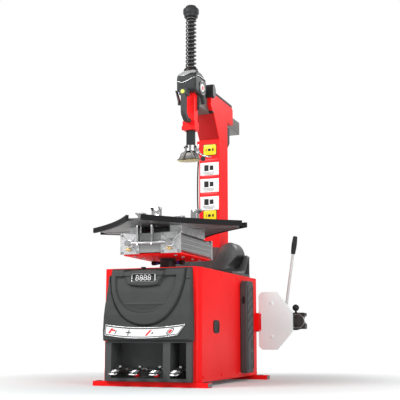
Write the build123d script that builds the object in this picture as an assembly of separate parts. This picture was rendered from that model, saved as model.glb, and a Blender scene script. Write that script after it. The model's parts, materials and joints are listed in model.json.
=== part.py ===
from build123d import *
import math
import os

# Tire changer, in millimetres. +Z is up, the floor is z = 0, the front faces -Y
# and the origin is the centre of the four floor anchors.

# Cabinet
cabinetHalfWidth = 225.0        # at the front strip
panelHalfWidth = 236.0          # the pressed side panels stand proud of the strip
cabinetFront = -432.0
cabinetRear = 432.0
cabinetTop = 531.0
sheet = 3.0
footHeight = 22.0
footDepth = 50.0
frontFootHalf = 281.0
rearFootHalf = 304.0
anchorX = 260.0
anchorY = 412.0
anchorRadius = 7.0
coverFront = -480.0
coverBottom = 202.0

# Turntable
tableY = -229.0
plateBottom = 729.0
plateTop = 741.0
rimBottom = 727.0
rimTop = 751.0
tableHalf = 301.0               # centre to the outside of a rim
rimThick = 14.0
rimHalfLength = 247.0
edgeSag = 22.0                  # how far the middle of each edge is hollowed
edgeRadius = (rimHalfLength ** 2 + edgeSag ** 2) / (2 * edgeSag)
cornerReach = 345.0             # centre to a cut corner of the plate
slotHalf = 12.0
jawRest = 145.0                 # jaw centre from the spindle axis
jawTop = 822.0
cylinderX = 102.0
cylinderZ = 643.0
cylinderHalfLength = 211.0
endPlateHalf = 48.5

# Column and arm
columnX = 6.0                   # the column and the tool stand a little right of centre
columnHalf = 60.0
columnFront = 328.0
columnRear = 465.0
columnBottom = 560.0
neckZ = 1299.0                  # where the head starts to lean forward
headTop = 1534.0
headRear = 562.0
tiltY = 400.0
tiltZ = 578.0
armHalf = 38.0
armZ = 1460.0
armFront = 78.0
armRear = 750.0

# Tool shaft
shaftY = 50.0
shaftHalfFlat = 21.0            # hexagon, centre to flat
shaftGap = 0.1
shaftFoot = 1196.0
housingHalf = 28.0
housingBottom = 1285.0
springBottom = 1624.0
springTop = 1906.0
springRadius = 26.0
wireRadius = 3.4
springTurns = 13.0

# Hand valve
buttonZ = 1467.0
buttonRadius = 11.0

# Bead breaker
breakerX = 285.0
breakerY = 465.0
bladeFront = 425.0
bladeThick = 12.0
bladeHingeX = 323.0
bladeHingeY = 447.0
pinGap = 0.05

# Drive inside the cabinet, as (y, z) centres on parallel axes along X
motorAt = (-60.0, 180.0)
wormAt = (-169.0, 440.0)
pulleyX = 86.0
driveShaft = 11.0
motorPulleyRadius = 32.0
wormPulleyRadius = 80.0
beadAt = (292.0, 300.0)

# Pedals
pedalPitch = 98.0
pedalHingeY = -372.0
pedalHingeZ = 72.0
axleRadius = 4.0


def block(x0, x1, y0, y1, z0, z1):
    centre = ((x0 + x1) / 2, (y0 + y1) / 2, (z0 + z1) / 2)
    return Pos(*centre) * Box(x1 - x0, y1 - y0, z1 - z0)


def rod(start, end, radius):
    axis = Vector(*end) - Vector(*start)
    return Solid.make_cylinder(radius, axis.length, Plane(Vector(*start), z_dir=axis))


def ring(centre, axis, outer, inner, length):
    start = Vector(*centre)
    end = start + Vector(*axis) * length
    return rod(start, end, outer) - rod(start, end, inner)


def prism(points, direction):
    face = Face(Wire.make_polygon([Vector(*point) for point in points]))
    return Solid.extrude(face, Vector(*direction))


def alongX(outline, x0, x1):
    return prism([(x0, y, z) for y, z in outline], (x1 - x0, 0, 0))


def alongY(outline, y0, y1):
    return prism([(x, y0, z) for x, z in outline], (0, y1 - y0, 0))


def alongZ(outline, z0, z1):
    return prism([(x, y, z0) for x, y in outline], (0, 0, z1 - z0))


def turned(shape, angle):
    """Turns a shape about the spindle axis."""
    return Pos(0, tableY, 0) * Rot(0, 0, angle) * Pos(0, -tableY, 0) * shape


def foot(half, y0, y1):
    wall = 5.0
    body = block(-half, half, y0, y1, 0, footHeight)
    body -= block(-half + wall, half - wall, y0 + wall, y1 - wall, -1, footHeight - wall)
    y = (y0 + y1) / 2
    for x in (-anchorX, anchorX):
        body += rod((x, y, 0), (x, y, footHeight), 2 * anchorRadius)
        body -= rod((x, y, -1), (x, y, footHeight + 1), anchorRadius)
    return body


def cabinetPlan(inset):
    """Plan outline: a narrow strip at the front, then panels that step outwards."""
    w = cabinetHalfWidth - inset
    p = panelHalfWidth - inset
    f = cabinetFront + inset
    r = cabinetRear - inset
    right = [(w, f), (w, f + 24), (p, f + 40), (p, r)]
    left = [(-x, y) for x, y in reversed(right)]
    return right + left


def cabinetShell():
    z0 = footHeight
    z1 = cabinetTop - sheet
    body = alongZ(cabinetPlan(0), z0, z1) - alongZ(cabinetPlan(sheet), z0 - 1, z1 + 1)
    body -= block(-200, 200, cabinetFront - 1, cabinetFront + sheet + 1, z0 - 1, 196)
    body -= block(200, panelHalfWidth + 1, 385, 415, 275, 325)
    return body


def topPlate():
    plate = alongZ(cabinetPlan(0), cabinetTop - sheet, cabinetTop)
    plate -= rod((0, tableY, 500), (0, tableY, 560), 60)
    plate -= rod((columnX, 330, 500), (columnX, 330, 560), 16)
    plate -= block(-190, 190, -120, 90, 500, 560)
    lid = block(-200, 200, -130, 100, cabinetTop, cabinetTop + 2)
    return plate + lid


def coverSection(inset):
    f = coverFront + inset
    back = cabinetFront - 0.5 * (1 if inset == 0 else -1)
    return [(back, coverBottom + inset), (f + 4, coverBottom + inset), (f, 250), (f, 318),
            (f + 14, 420), (f + 34, 515), (f + 40, 528 - inset), (back, 528 - inset)]


def coverTaper(inset):
    left = -190 + inset
    right = 208 - inset
    low = 216 - inset
    z = coverBottom - 1
    return [(-low, z), (low, z), (low, 250), (right, 529), (left, 529), (-low, 250)]


def frontCover():
    outer = alongX(coverSection(0), -230, 230) & alongY(coverTaper(0), -600, -400)
    inner = alongX(coverSection(4), -230, 230) & alongY(coverTaper(4), -600, -400)
    return outer - inner


def pedalHousing():
    y0 = -455.0
    body = block(-211, 211, y0, -344, 24, 200)
    body -= block(-180, 75, y0 - 1, -350, 38, 194)
    body -= block(110, 186, y0 - 1, -350, 38, 194)
    body -= block(-250, 250, cabinetFront, -329, 196, 205)
    body -= block(199, 215, cabinetFront - 0.01, -329, 20, 205)
    body -= block(-215, -199, cabinetFront - 0.01, -329, 20, 205)
    axle = rod((-184, pedalHingeY, pedalHingeZ), (190, pedalHingeY, pedalHingeZ), axleRadius)
    return body + axle


def pedal(x):
    """A cast pedal: hub, flat stem and a broad drooping toe plate."""
    hub = rod((x - 16, pedalHingeY, pedalHingeZ), (x + 16, pedalHingeY, pedalHingeZ), 9)
    stem = block(x - 12, x + 12, -448, pedalHingeY, 64, 78)
    toe = alongX([(-432, 64), (-432, 86), (-447, 88), (-458, 74), (-506, 64), (-512, 56), (-508, 50),
                  (-468, 57)], x - 24, x + 24)
    body = stem + toe + hub
    bore = axleRadius + pinGap
    return body - rod((x - 40, pedalHingeY, pedalHingeZ), (x + 40, pedalHingeY, pedalHingeZ), bore)


def sidePad():
    """Rubber pad for the wheel: thick, with a grooved front edge, ribs and three slots."""
    x0 = panelHalfWidth
    x1 = 275.0
    pad = alongZ([(x0, 145), (x1 - 6, 145), (x1, 151), (x1, 245), (x1 - 10, 256), (x0, 256)], 40, 502)
    pad -= block(x1 - 24, x1 - 8, 140, 151, 190, 440)
    for z in (78, 118, 158):
        pad -= block(x1 - 12, x1 + 1, 222, 240, z, z + 22)
    for step in range(5):
        z = 232 + 52 * step
        rib = [(158, z - 30), (166, z - 30), (238, z + 30), (230, z + 30)]
        pad += alongX(rib, x1 - 1, x1 + 4)
    return pad


def columnShroud():
    """Moulded cover round the column foot: apron, two arched cheeks and two rear fins."""
    body = alongZ([(-205, 130), (205, 130), (205, 425), (-205, 425)], cabinetTop, cabinetTop + 22)
    apron = alongX([(140, 552), (190, 590), (250, 640), (318, 700), (318, 552)], -140, 152)
    body += apron
    cheek = [(72, 552), (72, 690), (84, 708), (104, 720), (124, 723), (146, 712), (164, 684), (174, 648),
             (176, 552)]
    body += alongY(cheek, 285, 420)
    body += alongY([(2 * columnX - x, z) for x, z in reversed(cheek)], 285, 420)
    fin = [(340, 552), (372, 600), (404, 640), (424, 652), (425, 552)]
    body += alongX(fin, 176, 204)
    body += alongX(fin, -204, -164)
    body -= block(columnX - 64, columnX + 64, 318, 430, cabinetTop - 1, 800)
    body -= block(-160, 172, 300, 416, cabinetTop - 1, 640)
    body -= alongX([(150, 530), (196, 585), (316, 680), (316, 530)], -136, 148)
    return body


def tiltBracket():
    base = block(columnX - 50, columnX + 50, 352, 428, cabinetTop, cabinetTop + 8)
    for side in (-1, 1):
        x = columnX + side * 40
        ear = alongX([(375, 538), (425, 538), (418, 592), (408, 600), (392, 600), (382, 592)], x - 6, x + 6)
        base += ear
    return base - rod((-100, tiltY, tiltZ), (100, tiltY, tiltZ), 12.5)


def tiltPin():
    return rod((columnX - 66, tiltY, tiltZ), (columnX + 66, tiltY, tiltZ), 12.45)


def driveMotor():
    y, z = motorAt
    body = rod((-150, y, z), (30, y, z), 68)
    body += block(-130, 10, y - 60, y + 60, 100, 130)
    return body + rod((30, y, z), (pulleyX + 24, y, z), driveShaft)


def gearbox():
    y, z = wormAt
    body = block(-95, 70, tableY - 80, tableY + 80, 405, 515)
    body += rod((70, y, z), (pulleyX + 24, y, z), driveShaft)
    return body - rod((0, tableY, 400), (0, tableY, 520), 30.05)


def pulley(centre, radius):
    y, z = centre
    wheel = ring((pulleyX, y, z), (1, 0, 0), radius, driveShaft + pinGap, 22)
    return wheel - ring((pulleyX + 6, y, z), (1, 0, 0), radius + 1, radius - 6, 10)


def loop(inset, x0, x1):
    """Disc at each pulley and the flat between their outer tangents."""
    (y1, z1), (y2, z2) = motorAt, wormAt
    r1 = motorPulleyRadius - inset
    r2 = wormPulleyRadius - inset
    base = math.atan2(z2 - z1, y2 - y1)
    spread = math.acos((r1 - r2) / math.hypot(y2 - y1, z2 - z1))
    corners = []
    for y, z, r, angle in ((y1, z1, r1, base + spread), (y2, z2, r2, base + spread),
                           (y2, z2, r2, base - spread), (y1, z1, r1, base - spread)):
        corners.append((y + r * math.cos(angle), z + r * math.sin(angle)))
    body = alongX(corners, x0, x1)
    body += rod((x0, y1, z1), (x1, y1, z1), r1)
    return body + rod((x0, y2, z2), (x1, y2, z2), r2)


def driveBelt():
    return loop(1.0, pulleyX + 7, pulleyX + 15) - loop(5.6, pulleyX + 6, pulleyX + 16)


def beadCylinder():
    y, z = beadAt
    body = rod((-130, y, z), (100, y, z), 82)
    body += block(-150, -130, y - 40, y + 40, z - 40, z + 40)
    return body - rod((-45, y, z), (101, y, z), 12.05)


def beadRod():
    y, z = beadAt
    return rod((22, y, z), (220, y, z), 12)


def tiltCylinder():
    body = rod((columnX, 330, 400), (columnX, 330, 505), 25)
    body += block(columnX - 30, columnX + 30, 300, 360, 388, 400)
    return body - rod((columnX, 330, 440), (columnX, 330, 506), 10.05)


def tiltRod():
    return rod((columnX, 330, 442), (columnX, 330, 520), 10)


def breakerBracket():
    """Red box on the side, rear gusset and ears, and the pin that the arm turns on."""
    box = block(panelHalfWidth, 266, 380, 420, 254, 345)
    box -= block(panelHalfWidth - 1, 267, 386, 414, 262, 337)
    gusset = block(120, 190, cabinetRear, 540, 230, 370) - block(119, 191, cabinetRear + 10, 541, 242, 358)
    ear = [(190, 520), (268, 476), (268, 456), (302, 456), (302, 478), (230, 540), (190, 540)]
    for z in (249, 340):
        gusset += alongZ(ear, z, z + 11)
    gusset += rod((breakerX, breakerY, 240), (breakerX, breakerY, 360), 10)
    return Compound(children=[box, gusset])


def spindle():
    body = rod((0, tableY, 400), (0, tableY, 520), 30)
    body += rod((0, tableY, 520), (0, tableY, 540), 42)
    body += rod((0, tableY, 540), (0, tableY, 599), 28)
    body += block(-46, 46, tableY - 60, tableY + 60, 599, plateBottom)
    return body


def distributor():
    body = ring((0, tableY, 546), (0, 0, 1), 38, 28, 45)
    for side in (-1, 1):
        body += rod((side * 35, tableY, 570), (side * 60, tableY, 570), 6)
    return body


def basePlate():
    outline = [(-146, -182), (-134, -194), (134, -194), (146, -182), (146, 182), (134, 194), (-134, 194),
               (-146, 182)]
    plate = alongZ([(x, y + tableY) for x, y in outline], 591, 599)
    return plate - rod((0, tableY, 580), (0, tableY, 600), 28)


def clampCylinders():
    """Two square extruded barrels with cut corners and round bores."""
    tubes = []
    h = 44.0
    cut = 10.0
    low = cut - h
    section = [(-h, low), (low, -h), (-low, -h), (h, low), (h, -low), (-low, h), (low, h), (-h, -low)]
    y0 = tableY - cylinderHalfLength + 12
    y1 = tableY + cylinderHalfLength - 12
    for side in (-1, 1):
        centre = side * cylinderX
        barrel = alongY([(centre + x, cylinderZ + z) for x, z in section], y0, y1)
        tubes.append(barrel - rod((centre, y0 - 1, cylinderZ), (centre, y1 + 1, cylinderZ), 40))
    return Compound(children=tubes)


def cylinderEnds():
    plates = []
    h = endPlateHalf
    for side in (-1, 1):
        x = side * cylinderX
        for end in (-1, 1):
            y = tableY + end * (cylinderHalfLength - 6)
            plate = block(x - h, x + h, y - 6, y + 6, cylinderZ - h, cylinderZ + h)
            if end < 0:
                plate -= rod((x, y - 10, cylinderZ), (x, y + 10, cylinderZ), 9.05)
            plates.append(plate)
        plates.append(block(x - 30, x + 30, tableY - 150, tableY + 150, 691.5, plateBottom))
    return Compound(children=plates)


def hollowEdge(radius, z0, z1):
    """Large upright disc whose rim is the hollow curve of the right edge of the table."""
    centre = tableHalf - rimThick - edgeSag + edgeRadius
    return rod((centre, tableY, z0), (centre, tableY, z1), radius)


def tablePlate():
    d = cornerReach
    half = tableHalf - rimThick
    plate = block(-half, half, tableY - half, tableY + half, plateBottom, plateTop)
    for quarter in range(4):
        plate -= turned(hollowEdge(edgeRadius, plateBottom - 1, plateTop + 1), 90 * quarter)
    plate = turned(plate, 45)
    plate &= block(-d, d, tableY - d, tableY + d, plateBottom, plateTop)
    for quarter in range(4):
        slot = block(78, 330, tableY - slotHalf, tableY + slotHalf, plateBottom - 1, plateTop + 1)
        plate -= turned(slot, 90 * quarter)
    return plate


def tableRims():
    rims = []
    y0 = tableY - rimHalfLength
    y1 = tableY + rimHalfLength
    rim = block(tableHalf - 60, tableHalf, y0, y1, rimBottom, rimTop)
    rim &= hollowEdge(edgeRadius, rimBottom - 1, rimTop + 1)
    rim -= hollowEdge(edgeRadius - rimThick, rimBottom - 2, rimTop + 2)
    for quarter in range(4):
        rims.append(turned(rim, 45 + 90 * quarter))
    return Compound(children=rims)


def crossbar():
    """Bar in front of the cylinders, its two piston rods and the two link plates."""
    y = tableY - cylinderHalfLength - 18
    body = rod((-112, y, cylinderZ), (112, y, cylinderZ), 8)
    for side in (-1, 1):
        x = side * cylinderX
        body += rod((x, y, cylinderZ), (x, tableY + 150, cylinderZ), 9)
        body += rod((x, tableY + 130, cylinderZ), (x, tableY + 150, cylinderZ), 39.5)
        body += rod((x, y - 14, cylinderZ), (x, y + 6, cylinderZ), 14)
    for x in (-52, 20):
        link = [(-10, 634), (10, 634), (6, 680), (14, 722), (-12, 722), (-8, 680)]
        body += alongX([(y + dy, z) for dy, z in link], x - 4, x + 4)
    return body


def jawSlide(quarter):
    """Flat slide on the plate with a key down into the slot."""
    slide = block(80, 200, tableY - 29, tableY + 29, plateTop + 0.4, plateTop + 12)
    slide += block(90, 130, tableY - slotHalf + 0.8, tableY + slotHalf - 0.8, plateBottom + 1, plateTop + 1)
    return turned(slide, 90 * quarter)


def jaw(quarter):
    """Stepped claw: gripped inside by the outer teeth and outside by the inner hook."""
    r = jawRest
    z = plateTop + 12
    foot = [(-26, z), (28, z), (28, z + 16), (10, z + 24)]
    hooks = [(8, -22), (24, -8), (22, 0), (2, -4), (-8, -16), (-14, -2), (-20, -4)]
    side = foot + [(dx, jawTop + dz) for dx, dz in hooks] + [(-22, z + 26)]
    claw = alongY([(r + dx, height) for dx, height in side], tableY - 20, tableY + 20)
    return turned(claw, 90 * quarter)


def columnPost():
    x0 = columnX - columnHalf
    x1 = columnX + columnHalf
    wall = 6.0
    post = block(x0, x1, columnFront, columnRear, columnBottom, neckZ)
    post -= block(x0 + wall, x1 - wall, columnFront + wall, columnRear - wall, columnBottom - 1, neckZ + 1)
    for z in (1284, 792):
        post += block(x0 - 18, x0, 341, 359, z, z + 16)
    return post - rod((x0 - 5, tiltY, tiltZ), (x1 + 5, tiltY, tiltZ), 12.5)


def headOutline(inset):
    return [(columnFront + inset, neckZ), (233 + inset, 1432), (217 + inset, 1432), (190 + inset, 1460),
            (194 + inset, 1505), (257 + inset, headTop - inset), (548 - inset, headTop - inset),
            (headRear - inset, headTop - 14 - inset), (headRear - inset, 1434), (columnRear - inset, 1432),
            (columnRear - inset, neckZ)]


def headHousing():
    """Gooseneck on top of the post, open for the square arm."""
    x0 = columnX - columnHalf
    x1 = columnX + columnHalf
    wall = 6.0
    body = alongX(headOutline(0), x0, x1)
    body -= alongX(headOutline(wall), x0 + wall, x1 - wall)
    gap = 0.4
    reach = armHalf + gap
    body -= block(columnX - reach, columnX + reach, 150, 600, armZ - reach, armZ + reach)
    body -= block(x0 + wall, x1 - wall, columnFront + wall, columnRear - wall, neckZ - 1, neckZ + 10)
    return body


def columnRearCover():
    x0 = columnX - 50
    x1 = columnX + 50
    outline = [(columnRear, 1288), (500, 1288), (530, 1318), (530, 1408), (columnRear, 1408)]
    body = alongX(outline, x0, x1)
    inner = [(columnRear - 1, 1292), (498, 1292), (526, 1320), (526, 1404), (columnRear - 1, 1404)]
    return body - alongX(inner, x0 + 4, x1 - 4)


# Air hose between its two elbows on the left of the post, a little slack
hoseRoute = [(-63.0, 350.0, 1284.0), (-63.0, 350.0, 1226.0), (-61.5, 349.0, 1166.0), (-62.5, 351.0, 1106.0),
             (-61.5, 349.5, 1046.0), (-62.5, 351.0, 986.0), (-61.0, 349.5, 926.0), (-63.0, 350.0, 866.0),
             (-63.0, 350.0, 808.0)]
hoseRadius = 4.0


def airHose():
    points = [Vector(*point) for point in hoseRoute]
    radii = []
    for before, here, after in zip(points, points[1:], points[2:]):
        turn = math.radians((here - before).get_angle(after - here))
        shorter = min((here - before).length, (after - here).length)
        radii.append(0.45 * shorter / math.tan(turn / 2))
    print("hose radii", [round(radius) for radius in radii])
    path = FilletPolyline(*points, radius=radii)
    section = Plane(path @ 0, z_dir=path % 0) * Circle(hoseRadius)
    tube = sweep(section, path=path)
    print("hose length", round(path.length), "volume", round(tube.volume),
          "section x length", round(math.pi * hoseRadius ** 2 * path.length))
    return tube


def armTube():
    """Square arm, closed at both ends by thin plates, with a slot for its lock."""
    wall = 5.0
    body = block(columnX - armHalf, columnX + armHalf, armFront, armRear, armZ - armHalf, armZ + armHalf)
    inner = armHalf - wall
    body -= block(columnX - inner, columnX + inner, armFront + 6, armRear - 4, armZ - inner, armZ + inner)
    return body


def hexagon(halfFlat, z0, z1):
    corner = halfFlat / math.cos(math.radians(30))
    points = []
    for step in range(6):
        angle = math.radians(30 + 60 * step)
        points.append((columnX + corner * math.cos(angle), shaftY + corner * math.sin(angle)))
    return alongZ(points, z0, z1)


def shaftHousing():
    h = housingHalf
    body = block(columnX - h, columnX + h, shaftY - h, armFront, housingBottom + 40, 1606)
    low = housingBottom
    body += block(columnX - h - 6, columnX + h + 6, shaftY - h - 5, armFront, low, low + 48)
    body += block(columnX - armHalf, columnX + armHalf, armFront - 10, armFront, 1400, 1510)
    body += block(columnX - h - 22, columnX - h, shaftY - 6, shaftY + 6, low + 8, low + 30)
    body += rod((columnX, shaftY, 1600), (columnX, shaftY, springBottom - wireRadius), 34)
    return body - hexagon(shaftHalfFlat + shaftGap, housingBottom - 1, springBottom + 1)


def headCover():
    """Plastic cap over the top of the shaft housing, with a skirt down each side."""
    x0 = columnX - 54
    x1 = columnX + 54
    outline = [(-20, 1480), (-20, 1572), (-2, 1600), (24, 1616), (96, 1616), (118, 1604), (140, 1570),
               (140, 1500), (124, 1440), (108, 1440), (84, 1478)]
    body = alongX(outline, x0, x1)
    inner = [(-16, 1479), (-16, 1570), (0, 1597), (25, 1611.5), (95, 1611.5), (115, 1601), (141, 1563),
             (141, 1430), (84, 1430)]
    body -= alongX(inner, x0 + 4, x1 - 4)
    body -= rod((columnX, shaftY, 1600), (columnX, shaftY, 1630), 34.5)
    body -= block(columnX - armHalf - 0.5, columnX + armHalf + 0.5, 60, 160, 1400, armZ + armHalf + 0.5)
    return body


def lockBlock():
    """Pneumatic lock on the sloping front of the head, above the arm."""
    outline = [(184, 1500), (193.5, 1500), (194, 1505), (257, headTop), (257, 1556), (238, 1574),
               (196, 1574), (184, 1562)]
    body = alongX(outline, columnX - 66, columnX + 66)
    cheek = [(188, 1512), (200, 1500), (214, 1500), (228, 1514), (228, 1560), (214, 1574), (200, 1574),
             (188, 1562)]
    return body + alongX(cheek, columnX + columnHalf, columnX + 74)


def valveHandle():
    grip = block(columnX - 11, columnX + 13, -66, -38, 1362, 1478)
    grip += alongX([(-66, 1364), (-38, 1364), (-18, 1340), (shaftY - housingHalf - 5, 1340),
                    (shaftY - housingHalf - 5, 1322), (-28, 1322), (-60, 1346)], columnX - 11, columnX + 13)
    grip += block(columnX - 20, columnX + 20, -66, -20, 1452, 1484)
    lug = block(columnX - 34, columnX - 11, -50, -40, 1402, 1416)
    grip += lug
    grip -= rod((columnX - 27, -60, 1409), (columnX - 27, -30, 1409), 2.05)
    return grip - rod((columnX, -70, buttonZ), (columnX, -55, buttonZ), buttonRadius + 0.4)


def valveButton():
    return rod((columnX, -72, buttonZ), (columnX, -61, buttonZ), buttonRadius)


def valveTrigger():
    """Thin lever that leans away from the grip, on a pin through the grip's lug."""
    x = columnX - 27
    side = [(-4, 1404), (4, 1404), (3, 1420), (-15, 1480), (-19, 1478), (-5, 1420)]
    lever = alongY([(x + dx, z) for dx, z in side], -56, -28)
    lever -= block(x - 8, x + 8, -50.4, -39.6, 1395, 1420)
    return lever + rod((x, -56, 1409), (x, -28, 1409), 2.0)


def hexShaft():
    shoulder = 1612
    body = hexagon(shaftHalfFlat, shaftFoot, shoulder)
    return body + rod((columnX, shaftY, shoulder), (columnX, shaftY, springTop + 14), 17)


def shaftCap():
    body = rod((columnX, shaftY, springTop + wireRadius), (columnX, shaftY, springTop + 20), 36)
    body += rod((columnX, shaftY, springTop + 20), (columnX, shaftY, 1958), 42)
    body += Pos(columnX, shaftY, 1958) * Cylinder(30, 14, align=(Align.CENTER, Align.CENTER, Align.MIN))
    return body - rod((columnX, shaftY, springTop), (columnX, shaftY, springTop + 14), 17 + pinGap)


def returnSpring():
    height = springTop - springBottom
    path = Pos(columnX, shaftY, springBottom) * Helix(height / springTurns, height, springRadius)
    wire = Wire(path.edges()) if not isinstance(path, Wire) else path
    section = Plane(wire @ 0, z_dir=wire % 0) * Circle(wireRadius)
    return sweep(section, path=wire, is_frenet=True)


def mountHead():
    """Collar on the shaft and the curved hoof that works on the rim."""
    collar = rod((columnX, shaftY, 1172), (columnX, shaftY, 1204), 31)
    collar -= hexagon(shaftHalfFlat, shaftFoot, 1210)
    hoof = alongX([(8, 1172), (88, 1172), (92, 1140), (104, 1126), (84, 1121), (24, 1121), (0, 1130)],
                  columnX - 20, columnX + 26)
    side = [(-22, 1168), (-30, 1140), (-72, 1130), (-74, 1123), (10, 1121), (46, 1124), (34, 1160)]
    wing = alongY([(columnX + dx, z) for dx, z in side], shaftY - 26, shaftY + 30)
    return collar + hoof + wing


def hookRod():
    """Bent rod beside the head, with a ball at its elbow and a flat tip."""
    path = [(columnX + 31.3, shaftY, 1186), (columnX + 42, shaftY, 1186), (columnX + 54, shaftY, 1160),
            (columnX + 70, shaftY, 1148)]
    body = Pos(*path[1]) * Sphere(5) + Pos(*path[2]) * Sphere(5)
    for start, end in zip(path, path[1:]):
        body += rod(start, end, 5)
    body += Pos(columnX + 70, shaftY, 1136) * Sphere(14)
    return body + rod((columnX + 72, shaftY, 1134), (columnX + 116, shaftY, 1124), 4)


def breakerArm():
    """Box arm with its hub, the ears for the blade and the blade's pin."""
    hub = rod((breakerX, breakerY, 261), (breakerX, breakerY, 339), 20)
    bar = block(breakerX, 432, breakerY - 10, breakerY + 18, 262, 337)
    bar -= block(breakerX + 24, 426, breakerY - 4, breakerY + 12, 268, 331)
    body = hub + bar
    body -= rod((breakerX, breakerY, 200), (breakerX, breakerY, 400), 10 + pinGap)
    for z in (266.0, 321.0):
        body += block(bladeHingeX - 12, bladeHingeX + 12, 440.5, breakerY - 10, z, z + 12)
    pin = rod((bladeHingeX, bladeHingeY, 264), (bladeHingeX, bladeHingeY, 335), 4)
    return body + pin


def armClamp():
    body = block(432, 500, breakerY - 24, breakerY + 26, 256, 348)
    body -= block(470, 501, breakerY - 25, breakerY - 6, 280, 324)
    body += rod((445, breakerY, 348), (445, breakerY, 360), 6)
    return body + Pos(445, breakerY, 374) * Sphere(18)


def breakerHandle():
    bar = rod((385, breakerY + 4, 338.5), (434, breakerY + 4, 661), 7)
    grip = rod((434, breakerY + 4, 661), (449, breakerY + 4, 758), 12)
    return Compound(children=[bar, grip])


def breakerBlade():
    """Flat breaker shoe with cut corners, and the lug that it swivels on."""
    y = bladeFront
    outline = [(250, 172), (268, 153), (352, 153), (436, 250), (436, 352), (352, 459), (268, 459), (250, 440)]
    body = alongY(outline, y, y + bladeThick)
    lug = block(bladeHingeX - 9, bladeHingeX + 9, y + bladeThick, 453, 278.4, 320.6)
    return body + lug - rod((bladeHingeX, bladeHingeY, 270), (bladeHingeX, bladeHingeY, 330), 4 + pinGap)


quarters = {"right": 0, "rear": 1, "left": 2, "front": 3}

shapes = {
    "front_foot": foot(frontFootHalf, -anchorY - footDepth / 2, -anchorY + footDepth / 2),
    "rear_foot": foot(rearFootHalf, anchorY - footDepth / 2, anchorY + footDepth / 2),
    "cabinet_shell": cabinetShell(),
    "top_plate": topPlate(),
    "front_cover": frontCover(),
    "pedal_housing": pedalHousing(),
    "side_pad": sidePad(),
    "column_shroud": columnShroud(),
    "tilt_bracket": tiltBracket(),
    "tilt_pin": tiltPin(),
    "drive_motor": driveMotor(),
    "gearbox": gearbox(),
    "drive_belt": driveBelt(),
    "motor_pulley": pulley(motorAt, motorPulleyRadius),
    "gearbox_pulley": pulley(wormAt, wormPulleyRadius),
    "bead_cylinder": beadCylinder(),
    "bead_rod": beadRod(),
    "tilt_cylinder": tiltCylinder(),
    "tilt_rod": tiltRod(),
    "breaker_bracket": breakerBracket(),
    "spindle": spindle(),
    "distributor": distributor(),
    "base_plate": basePlate(),
    "clamp_cylinders": clampCylinders(),
    "cylinder_ends": cylinderEnds(),
    "table_plate": tablePlate(),
    "table_rims": tableRims(),
    "crossbar": crossbar(),
    "column_post": columnPost(),
    "head_housing": headHousing(),
    "column_rear_cover": columnRearCover(),
    "air_hose": airHose(),
    "arm_tube": armTube(),
    "shaft_housing": shaftHousing(),
    "head_cover": headCover(),
    "lock_block": lockBlock(),
    "valve_handle": valveHandle(),
    "valve_button": valveButton(),
    "valve_trigger": valveTrigger(),
    "hex_shaft": hexShaft(),
    "shaft_cap": shaftCap(),
    "return_spring": returnSpring(),
    "mount_head": mountHead(),
    "hook_rod": hookRod(),
    "breaker_arm": breakerArm(),
    "arm_clamp": armClamp(),
    "breaker_handle": breakerHandle(),
    "breaker_blade": breakerBlade(),
}
for side, quarter in quarters.items():
    shapes["slide_" + side] = jawSlide(quarter)
    shapes["jaw_" + side] = jaw(quarter)
for index in range(4):
    shapes["pedal_" + str(index + 1)] = pedal((index - 1.5) * pedalPitch)

os.makedirs("parts", exist_ok=True)
for node, shape in shapes.items():
    export_step(shape, "parts/" + node + ".step")
print(len(shapes), "nodes")
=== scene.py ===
import json
import math
import bmesh
import bpy
import numpy as np
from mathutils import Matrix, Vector

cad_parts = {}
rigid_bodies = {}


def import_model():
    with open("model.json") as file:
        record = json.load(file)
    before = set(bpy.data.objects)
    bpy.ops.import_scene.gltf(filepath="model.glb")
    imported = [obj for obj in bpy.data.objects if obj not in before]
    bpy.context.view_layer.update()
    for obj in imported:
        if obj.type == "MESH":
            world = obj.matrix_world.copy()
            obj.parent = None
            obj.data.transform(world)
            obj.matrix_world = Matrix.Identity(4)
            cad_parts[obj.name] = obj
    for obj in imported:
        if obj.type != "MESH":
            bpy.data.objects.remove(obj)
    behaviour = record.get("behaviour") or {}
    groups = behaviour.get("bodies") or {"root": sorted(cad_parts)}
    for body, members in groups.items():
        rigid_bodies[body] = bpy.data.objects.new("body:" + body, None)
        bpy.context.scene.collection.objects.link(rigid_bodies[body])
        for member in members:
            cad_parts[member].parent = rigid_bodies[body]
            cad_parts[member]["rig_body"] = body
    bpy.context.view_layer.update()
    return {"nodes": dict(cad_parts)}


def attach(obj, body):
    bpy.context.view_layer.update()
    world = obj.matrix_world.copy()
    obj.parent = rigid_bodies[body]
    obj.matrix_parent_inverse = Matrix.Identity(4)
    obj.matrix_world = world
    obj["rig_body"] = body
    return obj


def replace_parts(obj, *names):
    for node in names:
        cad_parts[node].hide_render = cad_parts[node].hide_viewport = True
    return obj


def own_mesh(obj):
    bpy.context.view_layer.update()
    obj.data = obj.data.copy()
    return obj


mm = 0.001
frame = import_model()
print("frame loaded,", len(frame["nodes"]), "nodes")


def newGroup(name, inputs, outputs):
    group = bpy.data.node_groups.new(name, "ShaderNodeTree")
    for label, kind, value in inputs:
        socket = group.interface.new_socket(name=label, in_out="INPUT", socket_type=kind)
        if value is not None:
            socket.default_value = value
    for label, kind in outputs:
        group.interface.new_socket(name=label, in_out="OUTPUT", socket_type=kind)
    start = group.nodes.new("NodeGroupInput")
    end = group.nodes.new("NodeGroupOutput")
    start.location = (-900, 0)
    end.location = (700, 0)
    return group, start, end


def addNode(tree, kind, place, **settings):
    node = tree.nodes.new(kind)
    node.location = place
    for key, value in settings.items():
        setattr(node, key, value)
    return node


def setInputs(node, values):
    for name, value in values.items():
        node.inputs[name].default_value = value


def joinNodes(tree, joints):
    # each joint is a node and its output, then a node and its input
    for giver, output, taker, entry in joints:
        tree.links.new(giver.outputs[output], taker.inputs[entry])


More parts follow.
